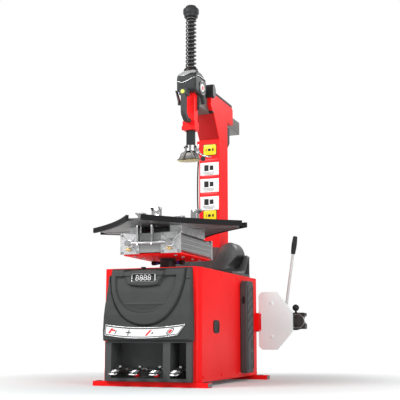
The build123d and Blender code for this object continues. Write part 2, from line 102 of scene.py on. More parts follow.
def buildSkinGroup():
    # slow patches shift the colour and gloss, fine grain gives the height
    group, start, end = newGroup("coatedSkin", [
        ("Colour", "NodeSocketColor", (0.5, 0.5, 0.5, 1)),
        ("Patch Colour", "NodeSocketColor", (0.4, 0.4, 0.4, 1)),
        ("Patch Scale", "NodeSocketFloat", 6.0),
        ("Patch Amount", "NodeSocketFloat", 0.3),
        ("Grain Scale", "NodeSocketFloat", 600.0),
        ("Gloss Low", "NodeSocketFloat", 0.2),
        ("Gloss High", "NodeSocketFloat", 0.4),
    ], [("Colour", "NodeSocketColor"), ("Roughness", "NodeSocketFloat"), ("Height", "NodeSocketFloat")])
    place = addNode(group, "ShaderNodeTexCoord", (-900, -260))
    patch = addNode(group, "ShaderNodeTexNoise", (-640, 120))
    setInputs(patch, {"Detail": 5, "Roughness": 0.62})
    grain = addNode(group, "ShaderNodeTexNoise", (-640, -220))
    setInputs(grain, {"Detail": 3})
    soft = addNode(group, "ShaderNodeMapRange", (-400, 120), interpolation_type="SMOOTHSTEP")
    setInputs(soft, {"From Min": 0.36, "From Max": 0.7})
    weight = addNode(group, "ShaderNodeMath", (-180, 120), operation="MULTIPLY")
    blend = addNode(group, "ShaderNodeMix", (80, 200), data_type="RGBA")
    gloss = addNode(group, "ShaderNodeMapRange", (80, -60))
    joinNodes(group, [
        (place, "Object", patch, "Vector"), (place, "Object", grain, "Vector"),
        (start, "Patch Scale", patch, "Scale"), (start, "Grain Scale", grain, "Scale"),
        (patch, "Fac", soft, "Value"), (soft, "Result", weight, 0), (start, "Patch Amount", weight, 1),
        (start, "Gloss Low", gloss, "To Min"), (start, "Gloss High", gloss, "To Max"),
        (patch, "Fac", gloss, "Value"), (gloss, "Result", end, "Roughness"), (grain, "Fac", end, "Height"),
    ])
    link = group.links.new
    link(weight.outputs[0], blend.inputs["Factor"])
    link(start.outputs["Colour"], blend.inputs["A"])
    link(start.outputs["Patch Colour"], blend.inputs["B"])
    link(blend.outputs["Result"], end.inputs["Colour"])
    return group


def buildDrawnGroup():
    # noise stretched along one axis gives drawn or ground lines in the metal
    group, start, end = newGroup("drawnLines", [
        ("Stretch", "NodeSocketVector", (1.0, 1.0, 0.02)),
        ("Line Scale", "NodeSocketFloat", 900.0),
    ], [("Mask", "NodeSocketFloat")])
    place = addNode(group, "ShaderNodeTexCoord", (-900, -260))
    scale = addNode(group, "ShaderNodeVectorMath", (-640, 0), operation="MULTIPLY")
    lines = addNode(group, "ShaderNodeTexNoise", (-400, 0))
    setInputs(lines, {"Detail": 4})
    joinNodes(group, [(place, "Object", scale, 0), (start, "Stretch", scale, 1), (scale, 0, lines, "Vector"),
                      (start, "Line Scale", lines, "Scale"), (lines, "Fac", end, "Mask")])
    return group


skinGroup = buildSkinGroup()
drawnGroup = buildDrawnGroup()


def makeFinish(name, colour, patch, amount=0.35, patchScale=5.0, gloss=(0.25, 0.4), grainScale=700.0,
               grainHeight=0.02, metal=0.0, coat=0.0, drawn=None, drawnHeight=0.0, shine=0.5):
    material = bpy.data.materials.new(name)
    material.use_nodes = True
    tree = material.node_tree
    shader = tree.nodes["Principled BSDF"]
    skin = addNode(tree, "ShaderNodeGroup", (-620, 100), node_tree=skinGroup)
    setInputs(skin, {"Colour": (*colour, 1), "Patch Colour": (*patch, 1), "Patch Scale": patchScale,
                     "Patch Amount": amount, "Grain Scale": grainScale, "Gloss Low": gloss[0],
                     "Gloss High": gloss[1]})
    bump = addNode(tree, "ShaderNodeBump", (-260, -220))
    setInputs(bump, {"Strength": 0.6, "Distance": grainHeight * mm})
    tree.links.new(skin.outputs["Height"], bump.inputs["Height"])
    tree.links.new(skin.outputs["Colour"], shader.inputs["Base Color"])
    tree.links.new(skin.outputs["Roughness"], shader.inputs["Roughness"])
    last = bump
    if drawn is not None:
        lines = addNode(tree, "ShaderNodeGroup", (-620, -320), node_tree=drawnGroup)
        setInputs(lines, {"Stretch": drawn})
        second = addNode(tree, "ShaderNodeBump", (-60, -320))
        setInputs(second, {"Strength": 0.5, "Distance": drawnHeight * mm})
        tree.links.new(lines.outputs["Mask"], second.inputs["Height"])
        tree.links.new(bump.outputs["Normal"], second.inputs["Normal"])
        last = second
    tree.links.new(last.outputs["Normal"], shader.inputs["Normal"])
    setInputs(shader, {"Metallic": metal, "Specular IOR Level": shine, "Coat Weight": coat,
                       "Coat Roughness": 0.08})
    return material


finishes = {  # slot, colour, colour of the patches, and where the finish differs from a plain one
    "redCoat": ("red_paint", (0.9, 0.01, 0.011), (0.78, 0.006, 0.007), dict(
        amount=0.45, patchScale=3, gloss=(0.36, 0.5), grainScale=260, grainHeight=0.1, shine=0.12)),
    "coverPlastic": ("dark_plastic", (0.05, 0.051, 0.051), (0.038, 0.039, 0.04), dict(
        amount=0.5, patchScale=9, gloss=(0.46, 0.6), grainScale=1500, grainHeight=0.12, shine=0.16)),
    "bayPlastic": ("dark_plastic", (0.062, 0.063, 0.064), (0.048, 0.049, 0.05), dict(
        amount=0.4, patchScale=7, gloss=(0.46, 0.6), grainScale=1400, grainHeight=0.1, shine=0.3)),
    "glossPlastic": ("gloss_plastic", (0.034, 0.035, 0.036), (0.024, 0.025, 0.026), dict(
        patchScale=12, gloss=(0.34, 0.46), grainScale=900, shine=0.14)),
    # a pale copy of the cap's black plastic: painted highlight for the crown of the head cap
    "capPaintedHighlight": ("gloss_plastic", (0.46, 0.46, 0.46), (0.26, 0.26, 0.26), dict(
        amount=0.6, patchScale=14, gloss=(0.12, 0.24), coat=0.5, shine=0.8)),
    "pegBlack": ("gloss_plastic", (0.012, 0.012, 0.012), (0.02, 0.02, 0.02), dict(
        patchScale=20, gloss=(0.34, 0.46), shine=0.2)),
    # white paint tinted cyan: a painted correction that cancels the red light bounced onto the blade from the
    # cabinet
    "bladeWhite": ("pale_paint", (0.84, 0.94, 0.94), (0.74, 0.84, 0.84), dict(
        gloss=(0.42, 0.55), grainScale=300, grainHeight=0.03, shine=0.1)),
    # a darker copy of the red paint: painted shade for the sloping panel under the head
    "shadedRedPaint": ("red_paint", (0.42, 0.01, 0.011), (0.34, 0.008, 0.009), dict(
        patchScale=6, gloss=(0.34, 0.5), shine=0.2)),
    "shroudPlastic": ("dark_plastic", (0.066, 0.067, 0.068), (0.046, 0.047, 0.048), dict(
        patchScale=8, gloss=(0.3, 0.42), grainScale=1200, grainHeight=0.06, shine=0.45)),
    "blackMetal": ("black_metal", (0.018, 0.018, 0.019), (0.028, 0.027, 0.026), dict(
        patchScale=14, gloss=(0.32, 0.48), grainScale=500, grainHeight=0.04, shine=0.35)),
    "rubber": ("rubber", (0.03, 0.031, 0.031), (0.042, 0.041, 0.04), dict(
        patchScale=18, gloss=(0.58, 0.76), grainScale=1200, grainHeight=0.1, shine=0.3)),
    "padEdge": ("rubber", (0.17, 0.172, 0.173), (0.12, 0.121, 0.122), dict(
        patchScale=18, gloss=(0.4, 0.55), shine=0.35)),
    "hoseRubber": ("rubber", (0.012, 0.013, 0.013), (0.02, 0.02, 0.02), dict(
        patchScale=30, gloss=(0.4, 0.55), shine=0.35)),
    "armPaint": ("grey_paint", (0.105, 0.1, 0.094), (0.078, 0.075, 0.07), dict(
        patchScale=8, gloss=(0.34, 0.5), grainScale=300, grainHeight=0.06)),
    "tablePaint": ("grey_paint", (0.1, 0.098, 0.098), (0.062, 0.061, 0.061), dict(
        amount=0.55, patchScale=9, gloss=(0.34, 0.5), grainScale=380, grainHeight=0.06)),
    "rimPaint": ("grey_paint", (0.012, 0.012, 0.013), (0.02, 0.02, 0.021), dict(
        patchScale=10, gloss=(0.5, 0.64), grainScale=420, grainHeight=0.06, shine=0.08)),
    "chrome": ("chrome", (0.6, 0.6, 0.61), (0.42, 0.415, 0.41), dict(
        patchScale=22, gloss=(0.1, 0.24), grainScale=400, metal=1)),
    "steel": ("steel", (0.48, 0.48, 0.49), (0.34, 0.335, 0.33), dict(
        patchScale=16, gloss=(0.22, 0.38), grainHeight=0.03, metal=1, drawn=(1, 1, 0.03), drawnHeight=0.05)),
    "springSteel": ("black_metal", (0.1, 0.1, 0.1), (0.17, 0.165, 0.16), dict(
        patchScale=30, gloss=(0.28, 0.42), metal=0.85, drawn=(1, 1, 0.3), drawnHeight=0.03)),
    "darkSteel": ("black_metal", (0.02, 0.021, 0.022), (0.032, 0.032, 0.033), dict(
        patchScale=16, gloss=(0.4, 0.55), shine=0.14, drawn=(1, 1, 0.02), drawnHeight=0.05)),
    "aluminium": ("aluminium", (0.72, 0.72, 0.73), (0.36, 0.355, 0.35), dict(
        amount=0.6, patchScale=40, gloss=(0.26, 0.46), grainScale=260, grainHeight=0.14, metal=1)),
    "extrusion": ("aluminium", (0.5, 0.5, 0.51), (0.36, 0.36, 0.36), dict(
        patchScale=14, gloss=(0.26, 0.4), metal=1, drawn=(1, 0.02, 1), drawnHeight=0.06)),
    "castIron": ("cast_iron", (0.17, 0.165, 0.16), (0.26, 0.245, 0.22), dict(
        patchScale=20, gloss=(0.36, 0.56), grainScale=340, grainHeight=0.22, metal=0.8)),
    "webPaint": ("grey_paint", (0.3, 0.3, 0.3), (0.22, 0.22, 0.22), dict(
        patchScale=12, gloss=(0.35, 0.5), shine=0.3)),
    "barSteel": ("steel", (0.56, 0.54, 0.54), (0.44, 0.43, 0.43), dict(
        patchScale=20, gloss=(0.28, 0.4), metal=0.4)),
    "padRubber": ("rubber", (0.062, 0.064, 0.065), (0.045, 0.046, 0.047), dict(
        patchScale=14, gloss=(0.45, 0.6), grainScale=1000, grainHeight=0.1, shine=0.3)),
    "brass": ("steel", (0.72, 0.48, 0.2), (0.55, 0.35, 0.14), dict(
        patchScale=30, gloss=(0.2, 0.35), metal=1)),
    "bluePlastic": ("gloss_plastic", (0.012, 0.03, 0.4), (0.01, 0.025, 0.3), dict(patchScale=30)),
    "lime": ("button", (0.66, 0.74, 0.12), (0.58, 0.66, 0.1), dict(patchScale=30, gloss=(0.2, 0.3))),
    "amber": ("pale_paint", (0.46, 0.38, 0.16), (0.36, 0.3, 0.13), dict(
        patchScale=30, gloss=(0.3, 0.45))),
    "digitGlow": ("pale_paint", (0.95, 0.95, 0.94), (0.88, 0.88, 0.87), dict(patchScale=30)),
    "whiteFilm": ("pale_paint", (0.84, 0.84, 0.84), (0.78, 0.78, 0.78), dict(
        patchScale=12, gloss=(0.24, 0.34))),
    "redFilm": ("red_paint", (0.78, 0.012, 0.018), (0.68, 0.01, 0.015), dict(patchScale=12, shine=0.3)),
    "greyFilm": ("grey_paint", (0.1, 0.1, 0.105), (0.07, 0.07, 0.075), dict(patchScale=12, shine=0.3)),
    "yellowFilm": ("pale_paint", (0.86, 0.62, 0.01), (0.78, 0.55, 0.01), dict(patchScale=12, shine=0.3)),
}
looks, slotOf = {}, {}
for name, (slot, colour, patch, more) in finishes.items():
    looks[name] = makeFinish(name, colour, patch, **more)
    slotOf[name] = slot
print("finishes made,", len(looks))

# mesh tools


def gridFaces(rows, columns, around, first=0):
    # every cell of the grid as one four-sided face; round a profile the last column meets the first
    across = np.arange(columns if around else columns - 1)
    down, side = np.meshgrid(np.arange(rows - 1), across, indexing="ij")
    nextSide = (side + 1) % columns
    corners = [down * columns + side, down * columns + nextSide, (down + 1) * columns + nextSide,
               (down + 1) * columns + side]
    return (np.stack(corners, axis=-1).reshape(-1, 4) + first).tolist()


def placeMesh(name, mesh, look, body, sharp):
    # smooth shading with creases, the finish, the body it rides on and its slot
    mesh.polygons.foreach_set("use_smooth", np.ones(len(mesh.polygons), bool))
    mesh.set_sharp_from_angle(angle=math.radians(sharp))
    mesh.materials.clear()
    mesh.materials.append(looks[look])
    piece = bpy.data.objects.new(name, mesh)
    bpy.context.scene.collection.objects.link(piece)
    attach(piece, body)
    return piece


def putMesh(name, points, faces, look, body, sharp=35.0):
    mesh = bpy.data.meshes.new(name)
    mesh.from_pydata((np.asarray(points, float) * mm).tolist(), [], faces)
    work = bmesh.new()
    work.from_mesh(mesh)
    bmesh.ops.remove_doubles(work, verts=work.verts, dist=2e-6)
    bmesh.ops.recalc_face_normals(work, faces=work.faces)
    work.to_mesh(mesh)
    work.free()
    return placeMesh(name, mesh, look, body, sharp)


def putGrids(name, grids, look, body, around=True, caps=True, sharp=35.0):
    # several grids of points become one piece; caps close the two ends of each
    points, faces, first = [], [], 0
    for grid in grids:
        rows, columns = grid.shape[:2]
        faces += gridFaces(rows, columns, around, first)
        if caps:
            faces.append(list(range(first, first + columns)))
            faces.append(list(range(first + (rows - 1) * columns, first + rows * columns)))
        points.append(grid.reshape(-1, 3))
        first += rows * columns
    return putMesh(name, np.concatenate(points), faces, look, body, sharp)


def putSheets(name, grids, look, body):
    # open patches, such as film laid on a panel
    return putGrids(name, grids, look, body, around=False, caps=False)


def smoothPath(corners, count):
    # even points on the curve that passes through every corner, with slopes from the neighbours
    corners = np.asarray(corners, float)
    steps = np.r_[0, np.cumsum(np.linalg.norm(np.diff(corners, axis=0), axis=1))]
    slopes = np.gradient(corners, steps, axis=0)
    at = np.linspace(0, steps[-1], count)
    span = np.clip(np.searchsorted(steps, at, side="right") - 1, 0, len(steps) - 2)
    width = (steps[span + 1] - steps[span])[:, None]
    t = ((at - steps[span])[:, None]) / width
    return ((2 * t ** 3 - 3 * t ** 2 + 1) * corners[span] + (t ** 3 - 2 * t ** 2 + t) * width * slopes[span]
            + (3 * t ** 2 - 2 * t ** 3) * corners[span + 1] + (t ** 3 - t ** 2) * width * slopes[span + 1])


def carry(path, profile, upward=(0, 0, 1), scale=None):
    # profile points (side, up) set square to the path at each of its points
    path = np.asarray(path, float)
    along = np.gradient(path, axis=0)
    along /= np.linalg.norm(along, axis=1)[:, None]
    side = np.cross(along, np.asarray(upward, float))
    side /= np.linalg.norm(side, axis=1)[:, None]
    up = np.cross(side, along)
    size = np.ones((len(path), 2)) if scale is None else np.asarray(scale, float).reshape(len(path), -1)
    sideSize, upSize = size[:, :1], size[:, -1:]
    return (path[:, None, :] + (sideSize * profile[:, 0])[:, :, None] * side[:, None, :]
            + (upSize * profile[:, 1])[:, :, None] * up[:, None, :])


def ovalProfile(sides=20, power=2.0):
    # superellipse of half-size 1: power 2 is a circle, higher is squarer
    turn = np.linspace(0, 2 * math.pi, sides, endpoint=False)
    c, s = np.cos(turn), np.sin(turn)
    return np.stack([np.sign(c) * np.abs(c) ** (2 / power), np.sign(s) * np.abs(s) ** (2 / power)], axis=-1)


def lathe(centre, axis, profile, sides=36, flutes=0, fluteDepth=0.0, fluted=None):
    # each (radius, height) turned round the axis; flutes ripple the radius of the rows in fluted
    axis = np.asarray(axis, float) / np.linalg.norm(axis)
    helper = np.array([1.0, 0, 0]) if abs(axis[0]) < 0.9 else np.array([0, 1.0, 0])
    first = np.cross(axis, helper)
    first /= np.linalg.norm(first)
    second = np.cross(axis, first)
    profile = np.asarray(profile, float)
    turn = np.linspace(0, 2 * math.pi, sides, endpoint=False)
    radius = np.repeat(profile[:, :1], sides, axis=1)
    if flutes:
        rows = np.zeros(len(profile)) if fluted is None else np.asarray(fluted, float)
        radius = radius + rows[:, None] * fluteDepth * np.cos(flutes * turn)[None, :]
    ring = np.cos(turn)[:, None] * first + np.sin(turn)[:, None] * second
    return np.asarray(centre, float) + radius[:, :, None] * ring + profile[:, 1][:, None, None] * axis


def rounded(radius, low, high, soften):
    # side profile of a disc with softened rims, from its centre out and back
    corner = np.linspace(0, math.pi / 2, 5)
    lower = np.stack([radius - soften + soften * np.sin(corner), low + soften - soften * np.cos(corner)],
                     axis=-1)
    upper = np.stack([radius - soften + soften * np.cos(corner), high - soften + soften * np.sin(corner)],
                     axis=-1)
    return np.concatenate([[[0.01, low]], lower, upper, [[0.01, high]]])


def hexBolt(centre, axis, across, height, turnBy=0.0):
    # washer, then a head whose radius follows a hexagon, chamfered at the top
    washer = lathe(centre, axis, rounded(across * 0.78, 0, height * 0.22, 0.3), 36)
    base = lathe(centre, axis, [(0.01, height * 0.22), (1, height * 0.22), (1, height * 0.86), (0.86, height),
                                (0.01, height)], 36)
    turn = np.linspace(0, 2 * math.pi, 36, endpoint=False) + turnBy
    hexRadius = across / 2 / np.cos((turn % (math.pi / 3)) - math.pi / 6)
    centre = np.asarray(centre, float)
    unit = np.asarray(axis, float) / np.linalg.norm(axis)
    level = (base - centre) @ unit
    flat = base - centre - level[..., None] * unit
    return [washer, centre + flat * hexRadius[None, :, None] + level[..., None] * unit]


def slab(outline, axis, low, high, soften, steps=4):
    # an outline carried along an axis, drawn in towards its middle at both ends by a quarter round
    outline = np.asarray(outline, float)
    corner = np.linspace(0, math.pi / 2, steps)
    inset = np.concatenate([soften * (1 - np.sin(corner)), soften * (1 - np.cos(corner))])
    level = np.concatenate([low + soften * (1 - np.cos(corner)), high - soften * (1 - np.sin(corner))])
    ahead = np.roll(outline, -1, axis=0) - outline
    behind = outline - np.roll(outline, 1, axis=0)
    ahead /= np.linalg.norm(ahead, axis=1)[:, None]
    behind /= np.linalg.norm(behind, axis=1)[:, None]
    area = np.sum(outline[:, 0] * np.roll(outline[:, 1], -1) - np.roll(outline[:, 0], -1) * outline[:, 1])
    turn = 1.0 if area > 0 else -1.0
    normal = np.stack([-(ahead + behind)[:, 1], (ahead + behind)[:, 0]], axis=-1) * turn
    length = np.linalg.norm(normal, axis=1)[:, None]
    normal = normal / np.maximum(length, 1e-6) * (2 / np.maximum(length, 0.8))
    flat = outline[None] + inset[:, None, None] * normal[None]
    rest = [i for i in range(3) if i != axis]
    grid = np.zeros((len(level), len(outline), 3))
    grid[..., rest[0]] = flat[..., 0]
    grid[..., rest[1]] = flat[..., 1]
    grid[..., axis] = level[:, None]
    return grid


def roundedOutline(corners, radius, steps=5):
    # every corner of a polygon replaced by points of the curve that is tangent to both of its sides
    corners = np.asarray(corners, float)
    before = np.roll(corners, 1, axis=0) - corners
    after = np.roll(corners, -1, axis=0) - corners
    cut = np.minimum(radius, 0.45 * np.minimum(np.linalg.norm(before, axis=1), np.linalg.norm(after, axis=1)))
    start = corners + before / np.linalg.norm(before, axis=1)[:, None] * cut[:, None]
    end = corners + after / np.linalg.norm(after, axis=1)[:, None] * cut[:, None]
    t = np.linspace(0, 1, steps)[None, :, None]
    curve = (1 - t) ** 2 * start[:, None] + 2 * t * (1 - t) * corners[:, None] + t ** 2 * end[:, None]
    return curve.reshape(-1, 2)


def softened(node, look, width):
    # a merged copy of the node, with its edges rounded
    source = frame["nodes"][node]
    mesh = source.data.copy()
    mesh.name = node + "Soft"
    work = bmesh.new()
    work.from_mesh(mesh)
    bmesh.ops.remove_doubles(work, verts=work.verts, dist=4e-6)
    bmesh.ops.dissolve_limit(work, angle_limit=math.radians(0.6), verts=work.verts, edges=work.edges)
    work.to_mesh(mesh)
    work.free()
    piece = placeMesh(node + "Soft", mesh, look, source["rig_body"], 30)
    bevel = piece.modifiers.new("roundedEdges", "BEVEL")
    bevel.width = width * mm
    bevel.segments = 3
    bevel.limit_method = "ANGLE"
    bevel.angle_limit = math.radians(32)
    bevel.harden_normals = True
    bevel.use_clamp_overlap = True
    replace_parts(piece, node)


def dress(node, look):  # a node that keeps its own mesh gets a finish
    thing = frame["nodes"][node]
    if not thing.material_slots:
        thing.data.materials.append(looks[look])
    for place in thing.material_slots:
        place.material = looks[look]


# nodes that keep their shape

softEdges = {
    "front_foot": ("redCoat", 1.6), "rear_foot": ("redCoat", 1.6), "cabinet_shell": ("redCoat", 3.0),
    "top_plate": ("redCoat", 1.2), "pedal_housing": ("bayPlastic", 2.4), "tilt_bracket": ("blackMetal", 1.5),
    "breaker_bracket": ("redCoat", 1.6), "base_plate": ("redCoat", 1.5), "cylinder_ends": ("aluminium", 2.0),
    "table_plate": ("tablePaint", 1.2), "table_rims": ("rimPaint", 2.0), "crossbar": ("steel", 1.4),
    "column_post": ("redCoat", 3.5), "head_housing": ("redCoat", 3.5),
    "column_rear_cover": ("coverPlastic", 4.0), "arm_tube": ("armPaint", 3.0),
    "shaft_housing": ("redCoat", 3.0), "lock_block": ("blackMetal", 4.0),
    "valve_handle": ("coverPlastic", 3.5), "valve_trigger": ("blackMetal", 1.2),
    "hex_shaft": ("darkSteel", 1.2), "breaker_arm": ("armPaint", 2.0), "breaker_blade": ("bladeWhite", 3.0),
    "spindle": ("tablePaint", 2.0), "clamp_cylinders": ("extrusion", 1.6),
}
for side in ("right", "rear", "left", "front"):
    softEdges["slide_" + side] = ("steel", 1.2)
    softEdges["jaw_" + side] = ("chrome", 1.6)
for node, (look, width) in softEdges.items():
    softened(node, look, width)
keptNodes = {
    "tilt_pin": "steel", "drive_motor": "castIron", "gearbox": "castIron", "drive_belt": "rubber",
    "motor_pulley": "castIron", "gearbox_pulley": "castIron", "bead_cylinder": "aluminium",
    "bead_rod": "chrome", "tilt_cylinder": "aluminium", "tilt_rod": "chrome", "distributor": "blackMetal",
}
for node, look in keptNodes.items():
    dress(node, look)
print("frame dressed")

# front cover

coverLook = {
    "low": 202.0, "high": 528.0, "lowHalf": 216.0, "topLeft": 190.0, "topRight": 208.0,
    "bandMiddle": -6.0, "bandHalf": 184.0, "bandTop": 534.0, "bandDepth": 262.0, "bandLift": 7.0,
    "panelMiddle": -13.0, "panelHalf": 150.0, "panelTop": 494.0, "panelDepth": 173.0, "panelDrop": 11.0,
    "ledge": 364.0, "podLift": 15.0, "podMiddle": -21.0, "windowX": -18.0, "windowZ": 484.0,
    "columns": 217, "rows": 165,
}


def step01(value):  # smooth step from 0 to 1
    t = np.clip(value, 0, 1)
    return t * t * (3 - 2 * t)


def arch(x, z, centre, half, top, depth, power=2.2):
    # distance in from the edge of a rounded U, in millimetres, positive inside
    f = (np.abs((x - centre) / half) ** power + np.abs((top - z) / depth) ** power) ** (1 / power)
    return (1 - f) * 0.5 * (half + depth)


def coverSurface(x, z):
    # front of the cover: a leaning profile with a raised U, a sunk panel in it and a pod on top
    c = coverLook
    y = np.interp(z, [202, 210, 250, 318, 420, 515, 528], [-472, -477, -480, -480, -466, -446, -440])
    band = arch(x, z, c["bandMiddle"], c["bandHalf"], c["bandTop"], c["bandDepth"])
    panel = arch(x, z, c["panelMiddle"], c["panelHalf"], c["panelTop"] + 3, c["panelDepth"])
    under = step01((c["panelTop"] - z) / 3)
    lift = c["bandLift"] * step01(band / 5) - 9.0 * np.exp(-((band + 2.5) / 3.0) ** 2)
    inPanel = step01((panel + 2) / 6) * under
    lift -= c["panelDrop"] * inPanel
    lift -= inPanel * np.clip((c["ledge"] - z) * 0.30, 0, 11) * step01((panel - 2) / 10)
    lift += 2.4 * inPanel * np.exp(-((z - c["ledge"] - 2) / 2.2) ** 2)
    podTop = 514 + 9 * (1 - ((x - c["podMiddle"]) / 105) ** 2)
    podLow = 453 - 9 * (1 - ((x + 16) / 80) ** 2)
    podSide = np.interp(z, [444, 458, 480, 500, 523], [74, 80, 90, 103, 106])
    pod = np.minimum(np.minimum(podTop - z, z - podLow), (podSide - np.abs(x - c["podMiddle"])) * 0.8)
    lift += c["podLift"] * step01((pod + 1) / 7) * (1 - 0.35 * (1 - inPanel))
    lift -= 11.0 * np.exp(-((z - podTop - 4) / 4.2) ** 2) * step01((108 - np.abs(x - c["podMiddle"])) / 12)
    window = np.minimum(57 - np.abs(x - c["windowX"]), 18 - np.abs(z - c["windowZ"]))
    lift += 2.0 * np.exp(-((window - 1) / 1.8) ** 2) - 2.5 * step01((window - 3) / 2)
    wing = np.minimum(np.minimum(470 - z, (z - 372) * 0.9), 6 - band - 8)
    leftOnly = step01((-x - 60) / 40)
    lift -= 4.0 * step01(wing / 4) * leftOnly
    rightOnly = step01((x - 60) / 40)
    lift -= 5.0 * step01((478 - z) / 4) * step01((-band - 4) / 4) * rightOnly
    return y - lift


def coverEdges(z):  # left and right edge of the cover at a height
    c = coverLook
    left = np.interp(z, [250, 496, 502, c["high"]],
                     [c["lowHalf"], c["topLeft"] + 14, c["topLeft"], c["topLeft"]])
    return -left, np.interp(z, [250, c["high"]], [c["lowHalf"], c["topRight"]])


def onCover(x, z, lift):  # points on the cover, lifted off it
    return np.stack([x, coverSurface(x, z) - lift, z], axis=-1)


def makeCover():
    # a grid over the cover's front, its rim rolled back by a quarter circle and closed behind
    c = coverLook
    z = np.linspace(c["low"], c["high"], c["rows"])[:, None]
    u = np.linspace(-1, 1, c["columns"])[None, :]
    left, right = coverEdges(z)
    x = left + (right - left) * (u + 1) / 2
    z = z + 0 * x
    y = coverSurface(x, z)
    edge = np.minimum(np.minimum(x - left, right - x), np.minimum(z - c["low"], c["high"] - z) * 1.2)
    t = np.clip(edge / 11, 0, 1)
    y = y + 12 * (1 - np.sqrt(1 - (1 - t) ** 2 + 1e-9))
    front = np.stack([x, np.minimum(y, -433.5), z], axis=-1)
    grid = np.pad(front, ((1, 1), (1, 1), (0, 0)), mode="edge")
    for ring in (grid[0], grid[-1], grid[:, 0], grid[:, -1]):
        ring[:, 1] = -432.6
    rows, columns = grid.shape[:2]
    faces = gridFaces(rows, columns, False)
    border = list(range(columns)) + [r * columns + columns - 1 for r in range(1, rows)]
    border += [(rows - 1) * columns + k for k in range(columns - 2, -1, -1)]
    border += [r * columns for r in range(rows - 2, 0, -1)]
    faces.append(border)
    cover = putMesh("frontCoverShell", grid.reshape(-1, 3), faces, "coverPlastic", "cabinet", 60)
    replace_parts(cover, "front_cover")


def stripAt(along, across):
    # the curved pedal strip: along runs left to right, across from its low edge to its high edge
    x = np.interp(along, [0, 1], [-200, 156]) + across * np.interp(along, [0, 1], [3, 28])
    sag = 14 * (1 - (2 * along - 1) ** 2)
    return x, 234 - sag + 34 * across + 0 * x


def stripPatch(corners, lift, count=14):
    # a four-sided patch of the strip, given by its corners as (along, across), in order round it
    a, b, c, d = np.asarray(corners, float)
    s, t = np.meshgrid(np.linspace(0, 1, count), np.linspace(0, 1, count), indexing="ij")
    s, t = s[..., None], t[..., None]
    flat = a * (1 - s) * (1 - t) + b * s * (1 - t) + c * s * t + d * (1 - s) * t
    x, z = stripAt(flat[..., 0], flat[..., 1])
    return onCover(x, z, lift)


def stripRing(along, across, inner, outer, lift, sides=28):
    # a flat ring on the strip, radii as shares of the strip's height
    turn = np.linspace(0, 2 * math.pi, sides)
    r = np.array([inner, outer])[:, None]
    x, z = stripAt(along + r * np.cos(turn) * 36 / 378, across + r * np.sin(turn))
    return onCover(x, z, lift)


def stripBox(along, across, wide, tall, slant=0.0):
    # corners of a bar on the strip, its middle and size as shares, leaning by slant
    return [(along - wide - slant, across - tall), (along + wide - slant, across - tall),
            (along + wide + slant, across + tall), (along - wide + slant, across + tall)]


def makeStrip():
    film = stripPatch([(0.012, 0.02), (0.985, 0.02), (0.985, 0.98), (0.012, 0.98)], 2.6, 90)
    putSheets("pedalStrip", [film], "whiteFilm", "cabinet")
    edge = stripPatch([(-0.012, -0.16), (1.012, -0.16), (1.012, 1.16), (-0.012, 1.16)], 1.6, 90)
    loop = np.concatenate([edge[:, 0], edge[-1, 1:], edge[-2::-1, -1], edge[0, -2:0:-1]])
    loop = np.concatenate([loop, loop[:2]])
    putGrids("stripFrame", [carry(loop, ovalProfile(12) * [2.6, 2.6], (0, 1, 0))], "steel", "cabinet",
             caps=False)
    inner = stripPatch([(-0.010, -0.14), (1.010, -0.14), (1.010, 1.14), (-0.010, 1.14)], 1.4, 90)
    putSheets("stripBacking", [inner], "blackMetal", "cabinet")
    reds = [stripPatch(stripBox(0.075, 0.5, 0.013, 0.34, 0.018), 3.2),
            stripPatch(stripBox(0.115, 0.62, 0.020, 0.10), 3.2),
            stripPatch(stripBox(0.58, 0.5, 0.014, 0.36, 0.016), 3.2),
            stripRing(0.86, 0.5, 0.01, 0.22, 3.2)]
    putSheets("stripReds", reds[:3], "redFilm", "cabinet")
    putSheets("stripDisc", reds[3:], "redFilm", "cabinet")
    greys = [stripPatch(stripBox(0.145, 0.42, 0.006, 0.26, 0.008), 3.2),
             stripPatch(stripBox(0.315, 0.5, 0.006, 0.40), 3.2),
             stripPatch(stripBox(0.315, 0.5, 0.034, 0.08), 3.2),
             stripPatch(stripBox(0.635, 0.46, 0.010, 0.12), 3.2)]
    putSheets("stripMarks", greys, "greyFilm", "cabinet")
    putSheets("stripRing", [stripRing(0.86, 0.5, 0.32, 0.44, 3.2)], "greyFilm", "cabinet")


def coverLoop(outline, radius, lift, name, look):
    # a thin round bead laid on the cover along a closed outline
    outline = np.concatenate([outline, outline[:2]])
    path = onCover(outline[:, 0], outline[:, 1], lift)
    putGrids(name, [carry(path, ovalProfile(10) * radius, (0, 1, 0))], look, "cabinet", caps=False)


